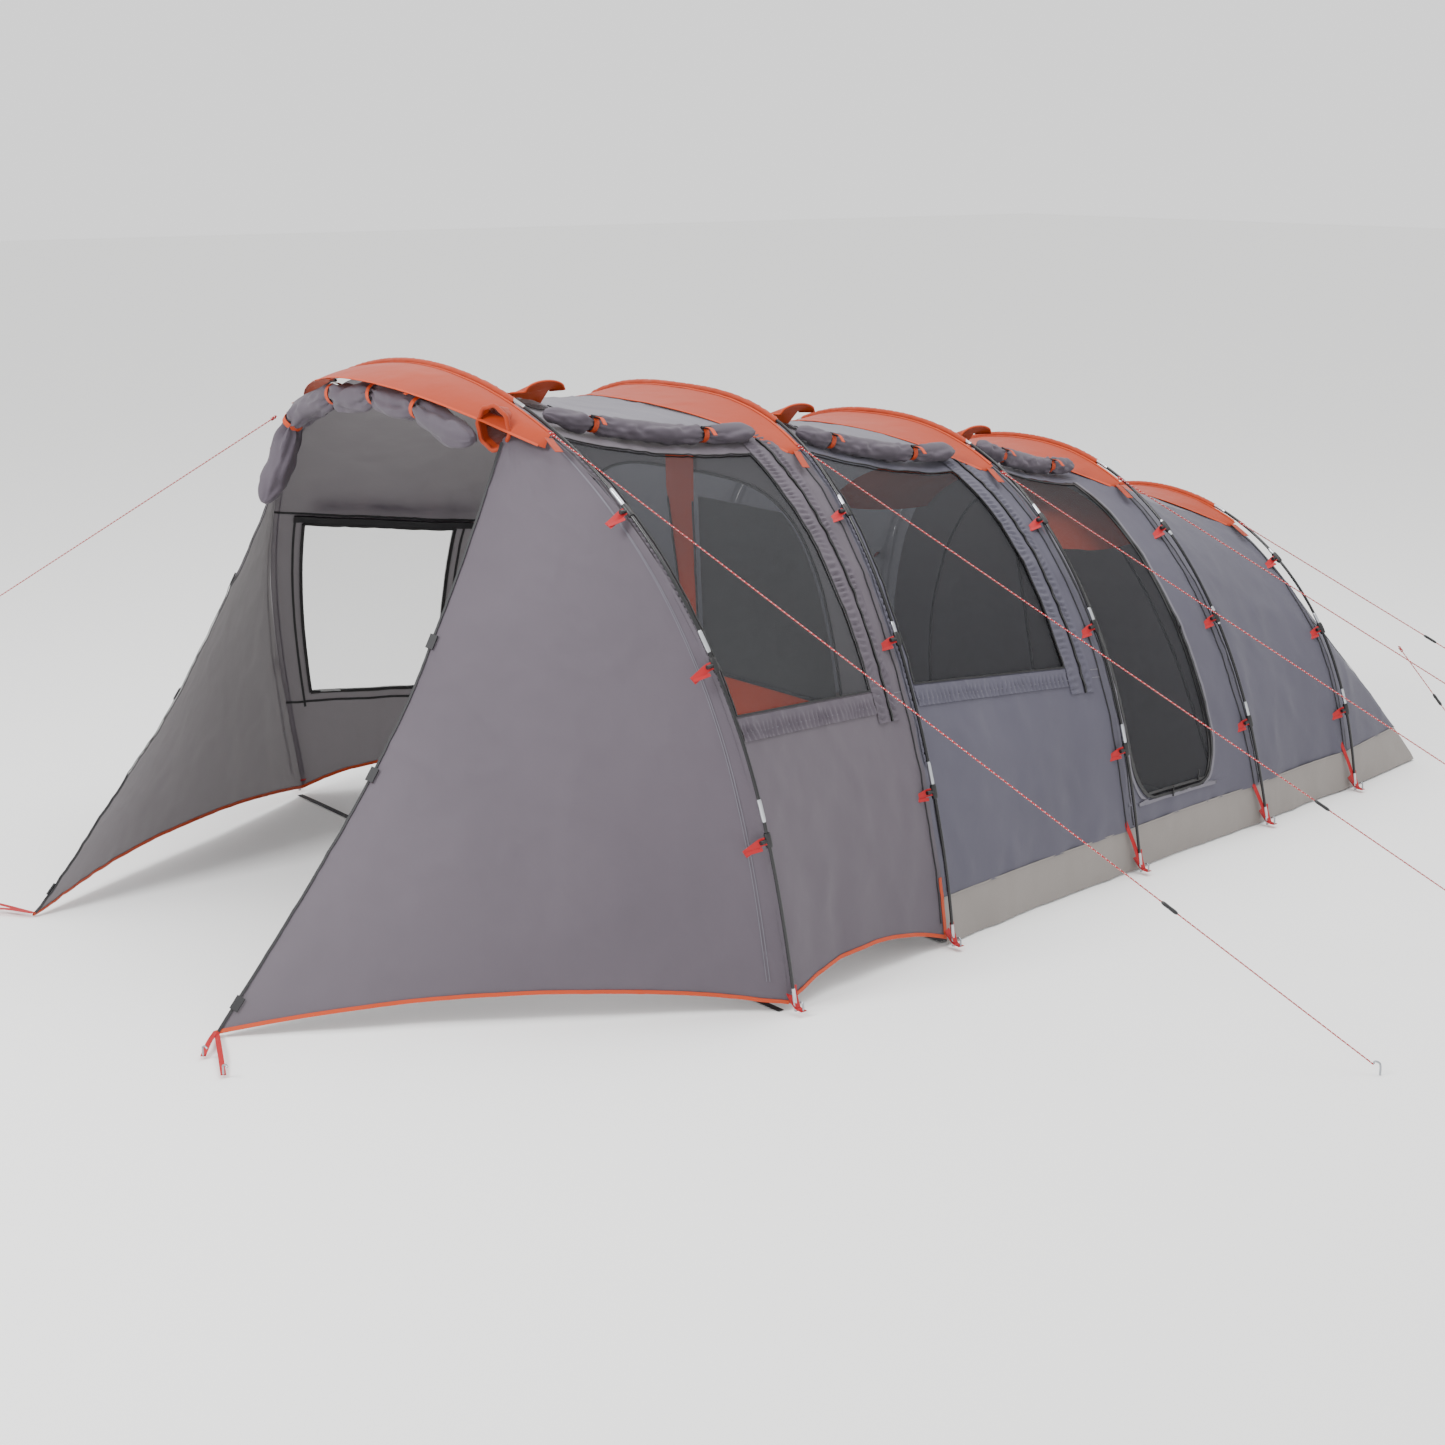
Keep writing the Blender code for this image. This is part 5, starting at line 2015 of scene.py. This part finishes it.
@dataclass
class RearEnd:
    """The sloping rear wall from the last arch to the ground."""

    lowest_height: float = 0.20

    def build(self) -> None:
        """Makes the wall with its two long seams."""
        lowest = FORM.arches[-1].turn_at(self.lowest_height, FORM.inset)
        surface = Surface(
            lambda u, v: FORM.rear(u, v * self.end(u)),
            lambda p: Vector((p.x * 0.5, 1.0, 0.7)),
            Drape(0.009, 0.004),
        )
        rows = cells(surface, lowest, math.pi - lowest, 0.3)
        columns = cells(surface, 0.0, 1.0, CROWN, False)
        cloth = Cloth(surface, rows, columns)
        cloth.build("rear_wall", COOL_CLOTH, replaces=["rear_end"])
        seams = Draft()
        for turn in (0.62, math.pi - 0.62, 1.25, math.pi - 1.25):
            seams.ribbon(trace(surface, [(turn, 0.01), (turn, 0.99)], 0.001), 0.006, 0.0016)
        seams.ribbon(trace(surface, [(lowest, 0.02), (math.pi - lowest, 0.02)], 0.001), 0.007)
        seams.build("rear_seams", BLACK_WEBBING)
        self.add_vent(surface)

    def end(self, turn: float) -> float:
        """Where the wall meets the skirt, as a share of the slope at a turn."""
        top = FORM.arches[-1].point(turn, FORM.inset).z
        return max(1 - (SKIRT_TOP + 0.004) / max(top, SKIRT_TOP + 0.02), 0.02)

    def add_vent(self, surface: Surface) -> None:
        """The low rear vent: a mesh patch under a narrow bound flap."""
        patch = Cloth(surface, spread(1.42, math.pi - 1.42, 12), spread(0.80, 0.90, 6), lift=0.004)
        patch.build("rear_vent_mesh", MESH)
        flap = Cloth(surface, spread(1.40, math.pi - 1.40, 14), spread(0.765, 0.865, 6), lift=0.016)
        flap.build("rear_vent_flap", COOL_CLOTH, Held.HUNG)


# ---- floor and skirt


@dataclass
class Floor:
    """The sewn-in floor, the mud skirt round it and the strap across the porch."""

    half_margin: float = 0.073
    thickness: float = 0.004

    def outline(self) -> list[tuple[float, float]]:
        """Half widths and places along the tent, from the second arch to the rear."""
        corners = [
            (arch.half_width - self.half_margin, arch.foot_y - FORM.middle_y)
            for arch in FORM.arches[1:]
        ]
        return [*corners, (0.90, 4.55 - FORM.middle_y)]

    def build(self) -> None:
        """Makes the floor, the skirt and the strap."""
        self.add_sheet()
        self.add_skirt()
        self.add_strap()

    def add_sheet(self) -> None:
        """The floor sheet, with the low wrinkles of a sheet on grass."""
        outline = self.outline()
        halves, places = zip(*outline)
        rows = []
        for along in spread(places[0], places[-1], 84):
            half = float(np.interp(along, places, halves))
            row = []
            for across in spread(-1, 1, 62):
                point = Vector((half * across, along, 0.0))
                ridge = max(1 - 4 * abs(noise.noise(point * 2.3)), 0.0)
                point.z = self.thickness + 0.004 * ridge + 0.0015 * noise.noise(point * 6)
                row.append(point)
            rows.append(row)
        piece = Draft().grid(rows).build("floor_sheet", SHEETING, replaces=["groundsheet"])
        declare_sheet(piece, rows)

    def add_skirt(self) -> None:
        """The pale strip from the wall's foot to the ground, on three sides."""
        heights = spread(0.0075, SKIRT_TOP + 0.006, 9)
        columns = []
        for bay in (1, 2, 3):
            columns += [self.side_column(bay, share, heights, 1) for share in spread(0, 1, 44)]
        last = FORM.arches[-1].turn_at(0.30, FORM.inset)
        for turn in joined(spread(last, 0.55, 12), spread(0.55, CROWN, 34)):
            columns.append(self.rear_column(turn, heights))
        corner = math.pi - 0.55
        for turn in joined(spread(CROWN, corner, 34), spread(corner, math.pi - last, 12))[1:]:
            columns.append(self.rear_column(turn, heights))
        for bay in (3, 2, 1):
            columns += [self.side_column(bay, share, heights, -1) for share in spread(1, 0, 44)]
        rows = [list(row) for row in zip(*columns)]
        piece = Draft().grid(rows).build("mud_skirt", SKIRT_CLOTH, replaces=["skirt"])
        declare_sheet(piece, rows)
        seam = Draft()
        top = [(column[-1], from_axis(column[-1]).normalized()) for column in columns]
        seam.ribbon([(p + n * 0.002, n) for p, n in top], 0.009, 0.0015)
        seam.build("skirt_seam", SKIRT_CLOTH)

    def side_column(self, bay: int, share: float, heights: Sequence[float], side: int) -> list[Vector]:
        """One upright line of the skirt beside a bay."""
        column = []
        for height in heights:
            turn = FORM.turn_at(bay, share, height)
            column.append(FORM.bay(bay, turn if side > 0 else math.pi - turn, share))
        return self.rumpled(column, Vector((side, 0, 0)))

    def rear_column(self, turn: float, heights: Sequence[float]) -> list[Vector]:
        """One upright line of the skirt behind the rear wall."""
        top = FORM.arches[-1].point(turn, FORM.inset).z
        column = [FORM.rear(turn, 1 - height / top) for height in heights]
        return self.rumpled(column, Vector((math.cos(turn), 1, 0)).normalized())

    def rumpled(self, column: Sequence[Vector], out: Vector) -> list[Vector]:
        """The line with soft upright folds that grow towards the ground."""
        points = []
        for point in column:
            low = 1 - min(point.z / SKIRT_TOP, 1.0)
            wave = noise.noise(Vector((point.x * 7, point.y * 7, point.z * 3)))
            fine = noise.noise(Vector((point.x * 26, point.y * 26, point.z * 9)))
            points.append(point + out * ((0.010 * low + 0.002) * wave + 0.0025 * fine))
        return points

    def add_strap(self) -> None:
        """The webbing between the first arch's feet, lying on the ground."""
        reach = FORM.arches[0].half_width - 0.05
        place = FORM.arches[0].foot_y - FORM.middle_y - 0.03
        frames = []
        for across in spread(-reach, reach, 120):
            drift = 0.006 * noise.noise(Vector((across * 2.1, 3.0, 0.0)))
            rise = 0.0012 * noise.noise(Vector((across * 5, 0.0, 7.0)))
            point = Vector((across, place + drift, 0.003 + rise))
            frames.append((point, Vector((0, 0, 1))))
        strap = Draft().ribbon(frames, 0.025, 0.002)
        strap.build("porch_strap", BLACK_WEBBING, replaces=["ground_strap"])


# ---- inner rooms


@dataclass
class InnerRooms:
    """The partitions inside: round the living room's doorway, its screen, and the bedroom's."""

    screen_top: float = 1.54
    strip_top: float = 1.84
    panel_top: float = 0.80

    def build(self) -> None:
        """Makes the partitions."""
        self.add_front()
        self.add_centre_strip()
        self.add_screen()
        self.add_rear()
        self.add_bedroom_patch()

    def front_row(self, turn: float, share: float) -> Vector:
        """A point of the partition between the tunnel and the doorway."""
        outer = FORM.arches[1].point(turn, 0.065)
        across = 1.02 * signed_power(math.cos(turn), 0.5)
        inner = Vector((across, outer.y, max(1.62 * math.sin(turn) ** 0.7, 0.02)))
        return outer.lerp(inner, share) + Vector((0, 0.03, 0))

    def facing(self, _: Vector) -> Vector:
        """The way towards the porch."""
        return Vector((0, -1, 0))

    def add_front(self) -> None:
        """The fixed cloth round the doorway, with the binding on its edge."""
        surface = Surface(self.front_row, self.facing, Drape(0.006, 0.003))
        rows = spread(0.06, math.pi - 0.06, 120)
        cloth = Cloth(surface, rows, spread(0.0, 1.0, 12))
        cloth.build("doorway_surround", INNER_CLOTH, Held.HUNG, replaces=["partition_front"])
        edge = Draft()
        for lift in (0.001, -0.004):
            edge.ribbon([surface.frame_at(turn, 0.99, lift) for turn in rows], 0.012, 0.003)
        edge.build("doorway_edge", BLACK_WEBBING)

    def strip_edges(self, height: float) -> tuple[float, float, float]:
        """The centre strip's two edges and its place along the tent at a height."""
        share = max(height, 0.0) / self.screen_top
        arch = FORM.arches[1]
        along = arch.point(arch.turn_at(max(height, 0.004), FORM.inset)).y + 0.03
        inner = 0.05 - 0.17 * share**2
        return inner, inner + 0.05 + 0.14 * share**2, along

    def add_centre_strip(self) -> None:
        """The orange strip down the middle of the doorway."""

        def at(height: float, share: float) -> Vector:
            """The strip's smooth point."""
            inner, outer, along = self.strip_edges(min(height, self.screen_top))
            return Vector((inner + (outer - inner) * share, along - 0.02, height))

        surface = Surface(at, self.facing, Drape(0.004, 0.003))
        cloth = Cloth(surface, spread(0.02, self.strip_top, 72), spread(0.0, 1.0, 7))
        cloth.build("centre_strip", ORANGE, Held.HUNG, replaces=["inner_centre_strip"])
        zips = Draft()
        for share in (0.02, 0.98):
            frames = [surface.frame_at(h, share, 0.002) for h in spread(0.03, 1.5, 50)]
            zips.ribbon(frames, 0.010, 0.003)
        zips.build("centre_strip_zips", ZIP)

    def screen_point(self, height: float, share: float) -> Vector:
        """A point of the screen on the doorway's near half."""
        _, inner, along = self.strip_edges(height)
        rise = min(max(height, 0.001) / 1.62, 1.0) ** (2 / 0.7)
        outer = 1.02 * max(1 - rise, 0.0) ** 0.25 - 0.03
        return Vector((inner + 0.004 + (outer - inner - 0.004) * share, along, height))

    def add_screen(self) -> None:
        """The mesh screen over an orange lower panel, joined by a seam."""
        surface = Surface(self.screen_point, self.facing, Drape(0.004, 0.002))
        columns = spread(0.0, 1.0, 36)
        cloth = Cloth(surface, spread(self.panel_top, self.screen_top - 0.02, 30), columns)
        cloth.build("door_screen_near", SCREEN_CLOTH, Held.HUNG, replaces=["inner_screen_near"])
        panel = Cloth(surface, spread(0.02, self.panel_top, 32), columns)
        panel.build("door_panel_near", ORANGE, Held.HUNG)
        trim = Draft()
        for lift in (0.002, -0.005):
            frames = [surface.frame_at(self.panel_top, share, lift) for share in columns]
            trim.ribbon(frames, 0.014, 0.003)
        trim.build("door_screen_seam", BLACK_WEBBING)

    def rear_point(self, height: float, across: float) -> Vector:
        """A point of the bedroom's partition."""
        arch = FORM.arches[3]
        edge = arch.point(arch.turn_at(max(height, 0.004), 0.08), 0.08)
        return Vector((edge.x * across, edge.y + 0.04, height))

    def add_rear(self) -> None:
        """The bedroom's partition with its two zipped doors."""
        surface = Surface(self.rear_point, self.facing, Drape(0.008, 0.004))
        cloth = Cloth(surface, spread(0.02, 1.51, 52), spread(-1.0, 1.0, 66))
        cloth.build("bedroom_partition", INNER_CLOTH, Held.HUNG, replaces=["partition_rear"])
        zips = Draft()
        for side in (1, -1):
            line = []
            for step in range(61):
                angle = math.pi * step / 60
                height = 0.16 + 1.14 * math.sin(angle) ** 0.7
                across = side * (0.47 + 0.34 * signed_power(math.cos(angle), 0.6))
                line.append(surface.frame_at(height, across * (1 - 0.12 * height), 0.003))
            zips.ribbon(line, 0.014, 0.003)
        zips.build("bedroom_door_zips", ZIP)

    def add_bedroom_patch(self) -> None:
        """The orange panel of the inner roof over the third bay."""

        def at(turn: float, share: float) -> Vector:
            """The panel hangs a hand's width under the roof."""
            front = FORM.arches[2].point(turn, 0.17)
            back = FORM.arches[3].point(turn, 0.17)
            point = front.lerp(back, share)
            point.z -= 0.05 * 4 * share * (1 - share)
            return point

        surface = Surface(at, drape=Drape(0.006, 0.004))
        cloth = Cloth(surface, spread(0.95, math.pi - 0.95, 44), spread(0.35, 0.98, 18))
        cloth.build("inner_roof_panel", ORANGE, Held.HUNG)


# ---- trim


@dataclass
class Trim:
    """Foot loops, peg straps and the bindings of the front bay."""

    def build(self) -> None:
        """Makes the trim of all five arches."""
        loops, straps, pegs = Draft(), Draft(), Draft()
        for arch in FORM.arches:
            for side in Side:
                foot = arch.point(0.004)
                foot.x *= side.value
                self.add_foot(loops, pegs, foot, side)
        for number in (2, 3, 4):
            for side in Side:
                self.add_skirt_strap(straps, FORM.arches[number], side)
        loops.build("foot_loops", RED_WEBBING)
        pegs.build("foot_pegs", ZINC_STEEL)
        straps.build("skirt_straps", RED_WEBBING)
        self.add_front_bay_binding()

    def add_foot(self, loops: Draft, pegs: Draft, foot: Vector, side: Side) -> None:
        """The webbing tab with an eyelet that a pole's pin stands in, and its peg."""
        out = Vector((side.value, 0, 0))
        up = Vector((0, 0, 1))
        path = [foot - out * 0.045 + up * 0.055, foot - out * 0.012 + up * 0.022]
        path += [foot + out * 0.014 + up * 0.006, foot + out * 0.045 + up * 0.004]
        normal = (up + out * 0.6).normalized()
        loops.ribbon([(p, normal) for p in smooth_path(path, 14)], 0.026, 0.002)
        lean = [foot + out * 0.012 + up * 0.010, foot - out * 0.006 + up * 0.05]
        lean.append(foot - out * 0.012 + up * 0.085)
        loops.ribbon([(p, out) for p in smooth_path(lean, 8)], 0.02, 0.002)
        base = foot + out * 0.040
        pin = [base + up * (0.002 + 0.007 * i) for i in range(5)]
        pin += [pin[-1] - out * 0.008 + up * 0.005, pin[-1] - out * 0.018 + up * 0.001]
        pegs.tube(pin, 0.0036, 8)

    def add_skirt_strap(self, straps: Draft, arch: Arch, side: Side) -> None:
        """The strap from the skirt's top down to an arch's foot."""
        top = arch.point(arch.turn_at(0.24, 0.0), FORM.inset - 0.004)
        foot = arch.point(0.004)
        top.x *= side.value
        foot.x *= side.value
        top.y -= 0.035
        out = Vector((side.value, 0, 0.1)).normalized()
        path = [top, top.lerp(foot, 0.5) + out * 0.008, foot + Vector((0, -0.012, 0.03))]
        straps.ribbon([(p, out) for p in smooth_path(path, 14)], 0.018, 0.0018)

    def add_front_bay_binding(self) -> None:
        """Orange binding along the front bay's hems and up the second arch."""
        for side in Side:
            surface = wall_surface(0, side)
            hem = Draft()
            for lift in (0.0015, -0.0035):
                hem.ribbon(trace(surface, [(0.0, 0.0), (0.0, 1.0)], lift), 0.014, 0.002)
            hem.ribbon(trace(surface, [(0.0, 0.992), (0.10, 0.992)], 0.002), 0.016, 0.002)
            hem.build(f"front_bay_hem_{side.label}", BINDING)


# ---- the whole tent


def main() -> None:
    """Builds the studio and the tent."""
    logging.basicConfig(level=logging.INFO, format="%(name)s: %(message)s")
    groups = (
        Studio(),
        GuyLines(),
        Poles(),
        TunnelSkin(),
        Windows(),
        SideDoor(),
        PorchWings(),
        RoofBands(),
        RolledCovers(),
        Vents(),
        RearEnd(),
        Floor(),
        InnerRooms(),
        Trim(),
    )
    for group in groups:
        LOG.info("building %s", type(group).__name__)
        group.build()


if __name__ == "__main__":
    main()
